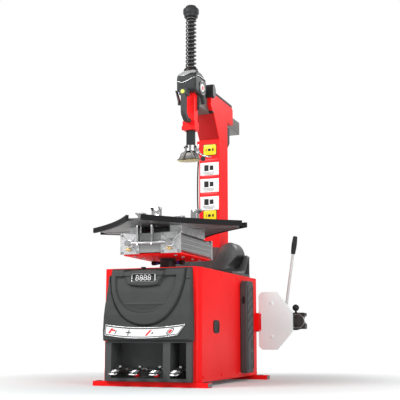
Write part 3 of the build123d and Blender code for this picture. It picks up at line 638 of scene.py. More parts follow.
def makeCoverDetails():
    # display window, digits, black strips of painted shade and the catch, all laid on the cover's surface
    c = coverLook
    x, z = np.meshgrid(np.linspace(-72, 36, 40), np.linspace(468, 500, 14), indexing="ij")
    putSheets("podWindow", [onCover(x, z, 0.8)], "pegBlack", "cabinet")
    # four digits of seven bars each, every bar lit: three level bars, then two upright pairs
    bars = []
    digit = [(0, up, 4.6, 1.1) for up in (11, 0, -11)]
    digit += [(along, up, 1.3, 4.2) for up in (5.5, -5.5) for along in (-6, 6)]
    for left in (-57, -37, -17, 3):
        for along, up, wide, tall in digit:
            spanX, spanZ = np.meshgrid(np.linspace(-wide, wide, 6), np.linspace(-tall, tall, 6),
                                       indexing="ij")
            bars.append(onCover(left + 6 + along + spanX + 0.08 * (up + spanZ), c["windowZ"] + up + spanZ,
                                1.6))
    putSheets("podDigits", bars, "digitGlow", "cabinet")
    # black strips of painted shade standing for shadow: round the raised U, over the pod, under it and under
    # the cover
    t = np.linspace(0.10, math.pi - 0.10, 120)
    power = 2 / 2.2
    ux = c["bandMiddle"] + (c["bandHalf"] + 2.6) * np.sign(np.cos(t)) * np.abs(np.cos(t)) ** power
    uz = c["bandTop"] - (c["bandDepth"] + 2.6) * np.sin(t) ** power
    keep = uz < 525
    px = np.linspace(-124, 84, 80)
    lx = np.linspace(-88, 56, 60)
    width = np.interp(np.linspace(0, 1, 80), [0, 0.08, 0.92, 1], [0.5, 3.4, 3.4, 0.5])
    paintedShadeLines = [carry(onCover(ux[keep], uz[keep], 0.3), ovalProfile(10) * [1.2, 2.5], (0, 1, 0)),
             carry(onCover(px, 519 + 9 * (1 - ((px - c["podMiddle"]) / 105) ** 2) - 2, 1.2),
                   ovalProfile(10) * [0.4, 1], (0, 1, 0), width),
             carry(onCover(lx, 450.5 - 9 * (1 - ((lx + 16) / 80) ** 2), 0.3), ovalProfile(10) * [0.8, 1.8],
                   (0, 1, 0))]
    shadeStrip = np.array([(-209, 200.4), (209, 200.4), (209, 206.5), (-209, 206.5)])
    paintedShadeLines.append(slab(shadeStrip, 1, -436.5, -432.2, 0.5, 2))
    putGrids("coverPaintedShade", paintedShadeLines, "pegBlack", "cabinet")
    outline = roundedOutline([(-75, 466), (39, 466), (39, 502), (-75, 502)], 6, 8)
    coverLoop(outline, 1.5, 0.5, "podWindowFrame", "chrome")
    knob = lathe((-30, -442, 528.5), (0, 0, 1), rounded(11, 0, 6, 2), 30)
    putGrids("coverCatch", [knob], "glossPlastic", "cabinet")


makeCover()
makeStrip()
makeCoverDetails()
print("front cover made")

# pedals

pedalLook = {
    "spots": [(-372, 71), (-420, 71), (-436, 74), (-444, 77), (-452, 73), (-464, 68), (-478, 64.5),
              (-492, 61.5), (-503, 58.5), (-509, 56), (-511.6, 54)],
    "half": [11, 12, 13, 17, 21, 23.5, 24, 24, 22.5, 18, 8],
    "thick": [12, 12, 16, 21, 17, 13, 11, 10, 9, 7.5, 3],
    "across": (-147.0, -49.0, 49.0, 147.0),
}


def makePedals():
    # each pedal is a squarish profile carried out along its stem, widening to the toe plate
    spots = np.asarray(pedalLook["spots"], float)
    for index, x in enumerate(pedalLook["across"]):
        body = "pedal_lever_%d" % (index + 1)
        line = smoothPath(np.column_stack([np.full(len(spots), x), spots, pedalLook["half"],
                                           pedalLook["thick"]]), 44)
        grid = carry(line[:, :3], ovalProfile(28, 3.2), scale=np.column_stack([line[:, 3], line[:, 4] / 2]))
        pedal = putGrids("pedalCasting%d" % (index + 1), [grid], "chrome", body)
        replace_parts(pedal, "pedal_%d" % (index + 1))
        hub = lathe((x - 16, -372, 72), (1, 0, 0), rounded(9.5, 0, 32, 1), 28)
        treads = []
        for y in (-470, -482, -494):
            z = np.interp(-y, [464, 478, 492, 503], [74.2, 70.0, 66.5, 63.0])
            path = np.array([(x - 17, y, z), (x, y - 3, z + 0.3), (x + 17, y, z)])
            treads.append(carry(smoothPath(path, 12), ovalProfile(8) * 1.3))
        putGrids("pedalHub%d" % (index + 1), [hub], "castIron", body)
        putGrids("pedalTread%d" % (index + 1), treads, "chrome", body)
        putGrids("pedalBolt%d" % (index + 1), hexBolt((x + 6, -440, 85), (0, 0, 1), 12, 8), "steel", body)


makePedals()
print("pedals made")

# tool shaft, cap, spring and head

shaftLook = {"x": 6.0, "y": 50.0, "springLow": 1624.0, "springHigh": 1906.0, "springRadius": 25.2,
             "wire": 4.2, "turns": 14.5, "stroke": 200.0}


def makeSpring():
    # the wire follows a helix whose rise eases off in the first and last turn
    s = shaftLook
    t = np.linspace(0, 1, 620)
    ease = 1 / s["turns"]
    rise = np.interp(t, [0, ease, 1 - ease, 1], [0, 0.022, 0.978, 1])
    z = s["springLow"] + (s["springHigh"] - s["springLow"]) * rise
    angle = 2 * math.pi * s["turns"] * t
    path = np.column_stack([s["x"] + s["springRadius"] * np.cos(angle),
                            s["y"] + s["springRadius"] * np.sin(angle), z])
    spring = putGrids("returnSpringWire", [carry(path, ovalProfile(12) * s["wire"])], "springSteel", "arm")
    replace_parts(spring, "return_spring")
    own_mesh(spring)


def makeCap():
    # a side profile turned round the shaft, with thirty shallow flutes round its widest part
    s = shaftLook
    profile = [(17.2, 1909.4), (35, 1909.4), (36.5, 1911), (36.5, 1924), (38, 1927), (41, 1928.5), (42, 1931),
               (42, 1940), (42, 1952), (40.5, 1956), (36, 1959), (31, 1960.5), (30, 1963), (29, 1969),
               (26, 1972), (0.01, 1972)]
    fluted = [0, 0, 0, 0, 0, 0, 0.3, 1, 1, 0.3, 0, 0, 0, 0, 0, 0]
    cap = lathe((s["x"], s["y"], 0), (0, 0, 1), profile, 120, 30, 0.7, fluted)
    piece = putGrids("shaftCapTurned", [cap], "glossPlastic", "shaft")
    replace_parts(piece, "shaft_cap")
    seat = [(23, 1616), (34, 1616), (35, 1617), (35, 1619.6), (33.5, 1620.4), (23, 1620.4)]
    putGrids("springSeat", [lathe((s["x"], s["y"], 0), (0, 0, 1), seat, 48)], "steel", "arm", caps=False)


def makeMountHead():
    # hoof: squarish sections carried from the short toe to the long toe, tall in the middle
    s = shaftLook
    rows = np.array([  # x, middle y, middle z, half depth, half height
        (-69, 54, 1134.5, 10, 3.0), (-61, 54, 1134, 17, 6), (-52, 54, 1135.5, 21, 9.5),
        (-44, 53, 1138.5, 24, 13.5), (-37, 53, 1143, 26, 19), (-29, 52, 1148, 27, 24.5),
        (-18, 52, 1149, 28, 26), (0, 52, 1149, 28.5, 26), (18, 52, 1149, 28, 26), (29, 52, 1146, 27, 22),
        (39, 52, 1139.5, 25, 15.5), (47, 53, 1133, 20, 9), (53, 54, 1127.5, 13, 3)])
    rows = smoothPath(rows, 60)
    hoof = carry(rows[:, :3], ovalProfile(36, 2.7), scale=rows[:, 3:])
    piece = putGrids("mountHoof", [hoof], "castIron", "shaft")
    ribs = []
    for top, low in ((-14, -26), (20, 34)):
        line = smoothPath([(top, 26, 1172), ((top + low) / 2, 22, 1156), (low, 17, 1141),
                           (low * 1.2, 13, 1130)], 20)
        ribs.append(carry(line, ovalProfile(18), (0, 1, 0), np.linspace(6.5, 5.0, 20)))
    putGrids("mountRibs", ribs, "castIron", "shaft")
    sole = rows[2:-2].copy()
    sole[:, 2] = sole[:, 2] - sole[:, 4] + 2.4
    sole[:, 3] += 1.2
    grids = [carry(sole[:, :3], ovalProfile(28, 3.0),
                   scale=np.column_stack([sole[:, 3], np.full(len(sole), 3.2)]))]
    putGrids("mountSole", grids, "amber", "shaft")
    collar = [(21.5, 1172), (29, 1172), (31, 1174), (31, 1183), (29.4, 1185), (29.4, 1190), (31, 1192),
              (31, 1202), (29, 1204), (24.4, 1204)]
    putGrids("mountCollar", [lathe((s["x"], s["y"], 0), (0, 0, 1), collar, 48)], "steel", "shaft",
             caps=False)
    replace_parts(piece, "mount_head")
    screws = []
    for turn in (200, 250, 340):
        way = np.array([math.cos(math.radians(turn)), math.sin(math.radians(turn)), 0])
        screws += hexBolt(np.array([s["x"], s["y"], 1196]) + 30 * way, way, 9, 6)
    putGrids("collarScrews", screws, "darkSteel", "shaft")


def makeHook():
    # a round bar along a bent path, thinner at its tip, and a ball turned from a half circle
    path = smoothPath([(34, 50, 1190), (45, 50, 1178), (57, 49, 1160), (74, 48, 1148), (96, 47, 1141),
                       (120, 47, 1136)], 60)
    taper = np.interp(np.linspace(0, 1, 60), [0, 0.06, 0.85, 1], [3.5, 5, 5, 2.6])
    hook = putGrids("hookBent", [carry(path, ovalProfile(16), (0, 1, 0), taper)], "chrome", "shaft")
    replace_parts(hook, "hook_rod")
    turn = np.linspace(0.02, math.pi - 0.02, 22)
    ball = np.column_stack([13 * np.sin(turn), -13 * np.cos(turn)])
    putGrids("hookBall", [lathe((74, 50, 1131), (0, 0, 1), ball, 32)], "glossPlastic", "shaft")


makeSpring()
makeCap()
makeMountHead()
makeHook()
print("tool shaft made")

# head cover, trim and badge

headLook = {"half": 54.0, "middle": 6.0, "archDrop": 14.0, "taper": 0.10}


def filled(grid, row, count):
    # extra rows between two neighbouring rows of a grid, evenly spaced
    share = np.linspace(0, 1, count + 2)[1:-1, None, None]
    return np.concatenate([grid[:row + 1], grid[row] * (1 - share) + grid[row + 1] * share, grid[row + 1:]])


def headShape(points):
    # the cap narrows towards its top, and there its sides fall away from the middle
    h = headLook
    points = np.array(points, float)
    aside = points[..., 0] - h["middle"]
    high = step01((points[..., 2] - 1556) / 60)
    points[..., 2] -= h["archDrop"] * high * step01((np.abs(aside) - 22) / 34)
    points[..., 0] = h["middle"] + aside * (1 - h["taper"] * high)
    return points


def makeHeadCover():
    h = headLook
    outline = roundedOutline([(-20, 1484), (-21, 1558), (-17, 1574), (12, 1601), (34, 1613), (92, 1615),
                              (118, 1604), (138, 1574), (141, 1512), (124, 1442), (108, 1442), (88, 1480)],
                             14, 9)
    grid = slab(outline, 0, h["middle"] - h["half"], h["middle"] + h["half"], 10, 8)
    cover = putGrids("headCap", [headShape(filled(grid, 7, 22))], "glossPlastic", "arm", sharp=50)
    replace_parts(cover, "head_cover")
    # painted highlight: a bright sheet laid over the sloping front of the cap where its gloss catches the
    # light, its lower edge a wave
    across = np.linspace(-44, 52, 44)
    low = np.interp(across, [-44, -34, -9, 10, 28, 52], [1570, 1568, 1566, 1570, 1578, 1587])
    slope = np.array([(-22.0, 1558), (-20.4, 1570), (-15.5, 1577.4), (12.6, 1602.4), (34, 1614.6),
                      (70, 1615.9)])
    rows = []
    for share in np.linspace(0, 1, 26):
        z = low + (1615.9 - low) * share
        y = np.interp(z, slope[:, 1], slope[:, 0])
        rows.append(np.stack([across, y - 0.5, z + 0.6], axis=-1))
    putSheets("headCapPaintedHighlight", [headShape(np.stack(rows))], "capPaintedHighlight", "arm")
    sleeve = [(34.1, 1592), (36, 1592.5), (37.4, 1595), (37.4, 1618), (36, 1620.4), (34.1, 1620.6)]
    putGrids("shaftSleeve", [lathe((shaftLook["x"], shaftLook["y"], 0), (0, 0, 1), sleeve, 56)], "pegBlack",
             "arm", caps=False)


def makeFlangeCover():
    # dark plastic plate over the flange between the shaft housing and the arm
    plate = roundedOutline([(-33, 1399), (45, 1399), (45, 1511), (-33, 1511)], 5, 5)
    putGrids("flangeCover", [slab(plate, 1, 67, 79, 1.5, 4)], "coverPlastic", "arm")


def makeHeadTrim():
    # a wavy bead along both sides of the cap, joined across its front and held just off it
    line = [(-48.6, 126, 1580), (-48.6, 100, 1582), (-48.6, 50, 1578), (-48.6, 10, 1564), (-47.2, -8, 1551),
            (-41, -19.5, 1541.5), (-30, -22, 1533.5), (-16, -22.2, 1529.6), (7, -22.2, 1534),
            (29, -22.2, 1542.5), (47, -21.6, 1550), (57, -12, 1557.5), (60.8, 0, 1565), (60.8, 25, 1573),
            (60.8, 51, 1578), (60.8, 102, 1581.5), (60.8, 128, 1579)]
    path = (headShape(smoothPath(line, 170)) - [6, 60, 0]) * [1.022, 1.014, 1] + [6, 60, 0]
    putGrids("headTrim", [carry(path, ovalProfile(12) * 2.1, (0, 0, 1))], "chrome", "arm")


def makeBadge():
    # plain round plate on the side of the head: stacked discs and a hoop
    h = headLook
    badge = (h["middle"] + h["half"] - 0.5, 72, 1519)
    backing = lathe(badge, (1, 0, 0), rounded(37, 0, 3, 1), 56)
    putGrids("badgeBacking", [backing], "blackMetal", "arm")
    turn = np.linspace(0, 2 * math.pi, 13)
    hoop = np.column_stack([35 + 2.2 * np.cos(turn), 3 + 2.2 * np.sin(turn)])
    putGrids("badgeHoop", [lathe(badge, (1, 0, 0), hoop, 56)], "steel", "arm", caps=False)
    putGrids("badgeFace", [lathe(badge, (1, 0, 0), rounded(22, 0, 5, 1.5), 48)], "whiteFilm", "arm")
    putGrids("badgeCentre", [lathe(badge, (1, 0, 0), rounded(12, 0, 6.4, 1.5), 48)], "redFilm", "arm")


def makePush():
    # domed push button at the top of the handle
    dome = [(0.01, 0), (10.9, 0), (10.9, 6), (10, 9), (7, 10.8), (0.01, 11)]
    button = lathe((6, -61, 1467), (0, -1, 0), dome, 36)
    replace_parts(putGrids("valvePush", [button], "lime", "button"), "valve_button")


makeHeadCover()
makeFlangeCover()
makeHeadTrim()
makeBadge()
makePush()


panelLook = {"whiteTops": (1190, 1099, 1000), "yellowFeet": (1214, 846)}  # heights on the column


def makeHeadDetails():
    # dark strip along the top of the head, and the sloping panel under it painted a darker red as painted
    # shade, with a black strip of painted shadow at its upper end
    strip = roundedOutline([(262, 1534.2), (262, 1544), (268, 1548), (534, 1548), (546, 1543), (548, 1534.2)],
                           3, 4)
    putGrids("headTopStrip", [slab(strip, 0, -54.5, 66.5, 2)], "coverPlastic", "column")
    slope = np.array([(327.4, 1301), (234.5, 1431)])
    out = np.array([-0.814, -0.581])
    sheet = [slope[0], slope[1], slope[1] + 1.2 * out, slope[0] + 1.2 * out]
    putGrids("underPanel", [slab(np.array(sheet), 0, -51, 63, 0.2, 3)], "shadedRedPaint", "column")
    # black strip at the upper end of the sloping panel: painted shadow under the head's front edge
    shadeStrip = [(236, 1426), (213, 1430), (213, 1434), (236, 1436)]
    putGrids("underPaintedShadow", [slab(np.array(shadeStrip) + [-1.2, -3], 0, -54.6, 66.6, 0.6, 3)], "pegBlack", "column")


def makeColumnPanels():
    # plain white and yellow panels with bars and blocks on them, rivets, and the rear cover's screws
    whites, reds, yellows, darks = [], [], [], []
    for high in panelLook["whiteTops"]:
        panel = roundedOutline([(-47, high - 94), (61, high - 94), (61, high), (-47, high)], 3, 4)
        whites.append(slab(panel, 1, 327.0, 328.2, 0.3, 3))
        header = roundedOutline([(-47, high - 19), (61, high - 19), (61, high + 1), (-47, high + 1)], 3, 4)
        reds.append(slab(header, 1, 326.6, 327.6, 0.3, 3))
        for left, low, wide, tall in ((-24, high - 66, 26, 34), (8, high - 62, 22, 26),
                                      (-30, high - 74, 66, 2.2), (-30, high - 81, 66, 2.2),
                                      (-22, high - 88, 50, 2.2)):
            mark = [(left, low), (left + wide, low), (left + wide, low + tall), (left, low + tall)]
            darks.append(slab(roundedOutline(mark, 0.9, 3), 1, 326.7, 327.6, 0.2, 2))
    for low in panelLook["yellowFeet"]:
        plate = roundedOutline([(-28, low), (46, low), (46, low + 58), (-28, low + 58)], 9, 6)
        yellows.append(slab(plate, 1, 326.8, 328.2, 0.3, 3))
        border = roundedOutline([(-32, low - 4), (50, low - 4), (50, low + 62), (-32, low + 62)], 11, 6)
        darks.append(slab(border, 1, 327.3, 328.2, 0.3, 3))
        for left, wide in ((-14, 4), (-2, 16), (22, 10)):
            mark = [(left, low + 22), (left + wide, low + 22), (left + wide, low + 36), (left, low + 36)]
            darks.append(slab(roundedOutline(mark, 1.5, 3), 1, 326.4, 327.2, 0.2, 2))
    putGrids("columnMarks", darks, "pegBlack", "column")
    putGrids("columnPanels", whites, "whiteFilm", "column")
    putGrids("columnHeaders", reds, "redFilm", "column")
    putGrids("columnPlates", yellows, "yellowFilm", "column")
    rivets = []
    for x, z in ((-21, 1221), (39, 1221), (-21, 1265), (39, 1265)):
        rivets.append(lathe((x, 327.0, z), (0, -1, 0), rounded(2.2, 0, 1.4, 0.6), 16))
    putGrids("plateRivets", rivets, "steel", "column")
    screws = []
    for y, z in ((488, 1300), (488, 1396)):
        screws += hexBolt((56, y, z), (1, 0, 0), 8, 4)
    putGrids("rearCoverScrews", screws, "darkSteel", "column")


makeHeadDetails()
makeColumnPanels()
print("head made")

# air hose

hoseLook = {"route": [(-0.063, 0.350, 1.284), (-0.063, 0.350, 1.242), (-0.0665, 0.348, 1.190),
                      (-0.0695, 0.347, 1.130), (-0.0705, 0.3465, 1.060), (-0.0705, 0.3465, 0.990),
                      (-0.0695, 0.347, 0.925), (-0.066, 0.349, 0.865), (-0.063, 0.350, 0.828),
                      (-0.063, 0.350, 0.808)],
            "radius": 0.004}


def makeHose():
    # one smooth round curve past given points, with a clip at each end
    curve = bpy.data.curves.new("columnHose", "CURVE")
    curve.dimensions = "3D"
    spline = curve.splines.new("NURBS")
    spline.points.add(len(hoseLook["route"]) - 1)
    for point, place in zip(spline.points, hoseLook["route"]):
        point.co = (*place, 1)
    spline.order_u = 3
    spline.use_endpoint_u = True
    curve.bevel_depth = hoseLook["radius"]
    curve.bevel_resolution = 5
    curve.resolution_u = 12
    curve.use_fill_caps = True
    curve.materials.append(looks["hoseRubber"])
    hose = bpy.data.objects.new("columnHose", curve)
    bpy.context.scene.collection.objects.link(hose)
    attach(hose, "column")
    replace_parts(hose, "air_hose")
    sleeves = [lathe((-63, 350, z), (0, 0, way), [(4.2, 0), (7.5, 0), (8, 1), (8, 9), (6.4, 11), (6.4, 20),
                                                  (4.2, 22)], 28) for z, way in ((1284, -1), (808, 1))]
    putGrids("hoseSleeves", sleeves, "steel", "column", caps=False)


makeHose()
print("hose made")

# turntable details

tableLook = {"middle": -229.0, "cylinderX": 102.0, "cylinderZ": 643.0, "endY": 211.0, "portZ": 570}


def makeBarrelRibs():
    # three shallow ribs along the outer side of each barrel
    t = tableLook
    ribs = []
    for x in (-1, 1):
        for dz in (-22, 0, 22):
            a = (x * (t["cylinderX"] + 44), t["middle"] - 198, t["cylinderZ"] + dz)
            b = (x * (t["cylinderX"] + 44), t["middle"] + 198, t["cylinderZ"] + dz)
            ribs.append(carry(np.linspace(a, b, 4), ovalProfile(12, 3.0) * [1.2, 3.2]))
    putGrids("barrelRibs", ribs, "extrusion", "turntable")


def makeTableWeb():
    # painted plate between the two cylinders, behind the link plates
    web = roundedOutline([(-53, 600.5), (53, 600.5), (53, 690), (-53, 690)], 3, 4)
    putGrids("tableWeb", [slab(web, 1, -437, -432, 0.8, 3)], "webPaint", "turntable")


def makeEndPlates():
    # diagonal ribs from each corner to the boss, a raised rim and bolts at the corners
    t = tableLook
    ribs, bolts, fittings = [], [], []
    for x in (-t["cylinderX"], t["cylinderX"]):
        for way in (-1, 1):
            y = t["middle"] + way * (t["endY"] + 0.5)
            for sx in (-1, 1):
                for sz in (-1, 1):
                    a = np.array([x + sx * 14, y, t["cylinderZ"] + sz * 14])
                    b = np.array([x + sx * 35, y, t["cylinderZ"] + sz * 35])
                    ribs.append(carry(np.linspace(a, b, 6), ovalProfile(12, 3.0) * [2.6, 2.6], (0, 1, 0)))
                    spot = (x + sx * 40, y - way * 0.5, t["cylinderZ"] + sz * 40)
                    bolts += hexBolt(spot, (0, way, 0), 10, 7)
            boss = [(10, -1), (18, -1), (18, 3), (16.5, 4), (10, 4)]
            ribs.append(lathe((x, y, t["cylinderZ"]), (0, way, 0), boss, 36))
        elbow = [(0.01, 0), (7, 0), (7, 5), (5, 6), (5, 12), (0.01, 13)]
        spot = np.array([x - 6, t["middle"] - t["endY"], 616])
        fittings.append(lathe(spot, (0, -1, 0), elbow, 24))
        fittings.append(lathe(spot + [-9, -7, 0], (1, 0, 0), [(0.01, 0), (4.4, 0), (4.4, 22), (0.01, 22)],
                              20))
    putGrids("endPlateRibs", ribs, "aluminium", "turntable")
    putGrids("endPlateBolts", bolts, "steel", "turntable")
    putGrids("endPlateFittings", fittings, "brass", "turntable")


def makeDistributor():
    # elbows and collars on both sides of the rotary joint, and three bands round it
    middle, height = tableLook["middle"], tableLook["portZ"]
    stub = [(0.01, 0), (9, 0), (10, 2), (10, 22), (8, 24), (0.01, 24)]
    drop = [(0.01, -11), (10, -11), (10, 9), (8, 11), (0.01, 11)]
    collar = [(6.2, 0), (8, 0), (8, 10), (7, 12), (6.2, 12)]
    band = [(38, 0), (39.6, 1), (39.6, 6), (38, 7)]
    elbows = [lathe((side * 60, middle, height), (side, 0, 0), stub, 28) for side in (-1, 1)]
    elbows.append(lathe((76, middle, height), (0, 0, -1), drop, 28))
    putGrids("distributorElbows", elbows, "pegBlack", "turntable")
    bands = [lathe((0, middle, z), (0, 0, 1), band, 48) for z in (548, 560, 579)]
    putGrids("distributorBands", bands, "blackMetal", "turntable", caps=False)
    collars = [lathe((side * 48, middle, height), (side, 0, 0), collar, 28) for side in (-1, 1)]
    putGrids("distributorCollars", collars, "bluePlastic", "turntable")


def makeTableFasteners():
    # two rows of bolts under the base plate, and a cap over the spindle
    middle, screws = tableLook["middle"], []
    for x in (-102, 102):
        for y in (-150, -60, 60, 150):
            screws += hexBolt((x, middle + y, 591), (0, 0, -1), 13, 6)
    putGrids("basePlateBolts", screws, "steel", "turntable")
    dome = [(0.01, 0), (30, 0), (30, 3), (27, 6), (12, 8), (0.01, 8.5)]
    cap = lathe((0, middle, 741), (0, 0, 1), dome, 48)
    putGrids("spindleCap", [cap], "castIron", "turntable")


def makeLinks():
    # curved bright link plates that bow out between the crossbar and the table
    plates = []
    for x in (-52, 20):
        line = smoothPath([(x, -461, 632), (x, -457, 655), (x, -452, 680), (x, -458, 705), (x, -461, 724)],
                          24)
        width = np.interp(np.linspace(0, 1, 24), [0, 0.2, 0.5, 0.8, 1], [9, 8, 6, 8, 11])
        plates.append(carry(line, ovalProfile(16, 3.5), (1, 0, 0),
                            np.column_stack([width, np.full(24, 4.4)])))
    putGrids("linkPlates", plates, "chrome", "piston_bar")
    caps = [lathe((side * 112, -458, 643), (side, 0, 0), [(0.01, -1), (9, -1), (10, 1), (9, 5), (5, 8),
                                                          (0.01, 8.6)], 28) for side in (-1, 1)]
    putGrids("crossbarKnobs", caps, "steel", "piston_bar")


makeBarrelRibs()
makeTableWeb()
makeEndPlates()
makeDistributor()
makeTableFasteners()
makeLinks()
print("turntable made")

# bead breaker and side of the cabinet


leverLook = {"foot": (385, 469, 338.5), "rise": (49, 0, 322.5), "gripFoot": (434, 469, 661),
             "gripAxis": (15, 0, 97), "boltHeights": (222, 398), "pinHeights": (282, 322)}


def makeBreaker():
    # hand lever: a bar, and a grip whose radius follows half a sine with fine ripples on it
    look = leverLook
    axis = np.array(look["gripAxis"], float)
    length = np.linalg.norm(axis)
    bar = lathe(look["foot"], look["rise"], [(0.01, 0), (7.5, 0), (7.5, 324), (0.01, 325)], 28)
    u = np.linspace(0, 1, 40)
    swell = np.sin(math.pi * u)
    radius = 11.0 + 3.2 * swell + 0.5 * np.cos(2 * math.pi * 9 * u) * (swell > 0.25)
    profile = np.column_stack([radius, u * length])
    profile = np.concatenate([[(0.01, 0), (8, 0)], profile[1:-1], [(8, length), (0.01, length)]])
    grip = lathe(look["gripFoot"], axis, profile, 32)
    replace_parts(putGrids("handleBar", [bar], "barSteel", "breaker"), "breaker_handle")
    putGrids("handleGrip", [grip], "pegBlack", "breaker")
    dome = [(0.01, -1), (9, -1), (9.5, 1), (8, 3.4), (3, 4.6), (0.01, 4.6)]
    bolts = [lathe((322, 425, z), (0, -1, 0), dome, 30) for z in look["boltHeights"]]
    putGrids("bladeBolts", bolts, "bladeWhite", "blade")
    low, high = look["pinHeights"]
    pins = hexBolt((454, 432, low), (0, -1, 0), 9, 5) + hexBolt((454, 432, high), (0, -1, 0), 9, 5)
    putGrids("clampPins", pins, "darkSteel", "breaker")
    nuts = hexBolt((285, 465, 360), (0, 0, 1), 18, 9) + hexBolt((285, 465, 240), (0, 0, -1), 18, 9)
    putGrids("pivotNuts", nuts, "steel", "cabinet")


def makeClamp():
    # C-shaped clamp on the arm, with a rounded plate across its front and a ball knob on a short neck
    claw = roundedOutline([(432, 256), (450, 256), (462, 262), (499, 262), (499, 288), (490, 296), (486, 306),
                           (486, 316), (490, 326), (499, 331), (499, 345), (490, 348), (432, 348)], 3, 5)
    grids = [slab(claw, 1, 441, 491, 3, 5)]
    neck = lathe((445, 465, 346), (0, 0, 1), [(0.01, 0), (9, 0), (9, 4), (6, 5), (6, 14), (0.01, 14)], 28)
    piece = putGrids("armClampClaw", grids + [neck], "blackMetal", "breaker")
    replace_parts(piece, "arm_clamp")
    turn = np.linspace(0.03, math.pi - 0.03, 24)
    ball = np.column_stack([18 * np.sin(turn), -18 * np.cos(turn)])
    putGrids("clampBall", [lathe((445, 465, 374), (0, 0, 1), ball, 40)], "pegBlack", "breaker")
    plate = roundedOutline([(437, 268), (478, 268), (496, 290), (498, 312), (484, 333), (466, 341),
                            (437, 335)], 9, 7)
    putGrids("clampPlate", [slab(plate, 1, 432, 442, 2.5, 5)], "rubber", "breaker")
    rim = np.concatenate([plate, plate[:2]])
    path = np.column_stack([rim[:, 0], np.full(len(rim), 434.0), rim[:, 1]])
    putGrids("clampRim", [carry(path, ovalProfile(10) * 1.5, (0, 1, 0))], "steel", "breaker", caps=False)


padLook = {"back": 236, "face": 274.6, "ribX": 274.4, "ribs": 6, "lowestRib": 226, "ribStep": 45,
           "slots": [(62, 88), (106, 146), (160, 206)]}


def makePad():
    # rubber pad: rounded body, slanting ribs, three slots and a finger hole in its front edge, the slots and
    # hole drawn as flat black sheets of painted shade
    body = roundedOutline([(147, 42), (250, 42), (255, 60), (256, 504), (172, 504), (147, 488)], 15, 8)
    pad = putGrids("wheelPad", [slab(body, 0, padLook["back"], padLook["face"], 7, 7)], "padRubber",
                   "cabinet")
    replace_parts(pad, "side_pad")
    ribs = []
    rib = padLook["ribX"]
    for step in range(padLook["ribs"]):
        z = padLook["lowestRib"] + padLook["ribStep"] * step
        line = np.linspace((rib, 160, z - 22), (rib, 246, z + 24), 8)
        ribs.append(carry(line, ovalProfile(14, 3.0) * [2.6, 2.4], (1, 0, 0)))
    for y, low, high in ((156, 60, 478), (250, 60, 478)):
        ribs.append(carry(np.linspace((rib, y, low), (rib, y, high), 6), ovalProfile(14, 3.0) * [1.6, 1.8],
                          (1, 0, 0)))
    putGrids("padRibs", ribs, "pegBlack", "cabinet")
    # flat black sheets on the face and the front edge stand for the openings: painted shade
    dark = []
    for low, high in padLook["slots"]:
        hole = roundedOutline([(216, low), (236, low), (236, high), (216, high)], 4, 5)
        dark.append(slab(hole, 0, 274.0, 275.2, 0.3, 2))
    turn = np.linspace(0, 2 * math.pi, 40, endpoint=False)
    ovals = [np.column_stack([256 + 9 * size * np.cos(turn), np.full(40, y), 404 + 20 * size * np.sin(turn)])
             for size, y in ((1.0, 147.4), (1.0, 146.2), (0.01, 146.2))]
    dark.append(np.stack(ovals))
    putGrids("padHolesPaintedShade", dark, "pegBlack", "cabinet")


def shroudRise(y):  # height of the hump over the cabinet top, front to back
    return np.interp(y, [132, 150, 190, 250, 318, 330], [4, 18, 46, 92, 148, 150])


def makeShroud():
    # moulded cover: a rounded tray, a hump in front of the column and an arched, hollowed cheek each side
    tray = roundedOutline([(-204, 131), (204, 131), (204, 423), (75, 423), (75, 316), (-63, 316), (-63, 423),
                           (-204, 423)], 5, 5)
    grids = [slab(tray, 2, 530.4, 552, 4, 6)]
    y = smoothPath([(132, 0, 0), (150, 0, 0), (190, 0, 0), (250, 0, 0), (317, 0, 0)], 46)[:, 0]
    rise = smoothPath(np.column_stack([y, shroudRise(y), y * 0]), 46)[:, 1]
    across = np.linspace(-1, 1, 41)
    dome = (1 - np.abs(across) ** 6) ** 0.3
    hump = np.zeros((46, 43, 3))
    hump[:, 1:42, 0] = 6 + 74 * across
    hump[:, :, 1] = y[:, None]
    hump[:, 1:42, 2] = 548 + rise[:, None] * (0.80 + 0.20 * dome) + 4 * dome
    hump[:, 0, 0], hump[:, 42, 0] = 6 - 74, 6 + 74
    hump[:, 0, 2] = hump[:, 42, 2] = 546
    grids.append(hump)
    # cheek: closed outline in x and height at full size, then smaller towards the front
    full = np.array([(74, 546), (74, 640), (74, 696), (88, 712), (108, 721), (126, 723), (146, 715),
                     (162, 698), (173, 674), (176, 658), (170, 648), (152, 636), (134, 618), (128, 600),
                     (138, 584), (160, 574), (182, 568), (200, 560), (204, 550), (204, 546)])
    line = smoothPath(np.column_stack([full, np.zeros(len(full))]), 96)[:, :2]
    depth = np.concatenate([np.linspace(150, 300, 30), np.linspace(308, 422, 18)])
    cheek = np.zeros((len(depth), 96, 3))
    grow = np.interp(depth, [150, 190, 250, 300, 330], [0.12, 0.34, 0.70, 0.95, 1.0])
    sweep = step01((depth - 318) / 96)
    outer = step01((line[:, 0] - 136) / 50) * step01((640 - line[:, 1]) / 40)
    cheek[..., 0] = 74 + (line[None, :, 0] - 74) * (0.55 + 0.45 * np.sqrt(grow))[:, None]
    cheek[..., 1] = depth[:, None]
    cheek[..., 2] = 546 + (line[None, :, 1] - 546) * grow[:, None] + 92 * outer[None] * sweep[:, None]
    back = np.array([(76, 546), (76, 698), (108, 720), (126, 722), (146, 714), (160, 698), (172, 672),
                     (172, 646), (186, 634), (202, 646), (202, 546)])
    wall = slab(roundedOutline(back, 3, 3), 1, 417, 423.6, 1.0, 3)
    for shape in (cheek, wall):
        grids.append(shape)
        grids.append(shape * [-1, 1, 1] + [12, 0, 0])
    shroud = putGrids("columnShroud", grids, "shroudPlastic", "cabinet", sharp=40)
    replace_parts(shroud, "column_shroud")


footLook = {"front": 281.0, "rear": 304.0, "anchor": 260.0}


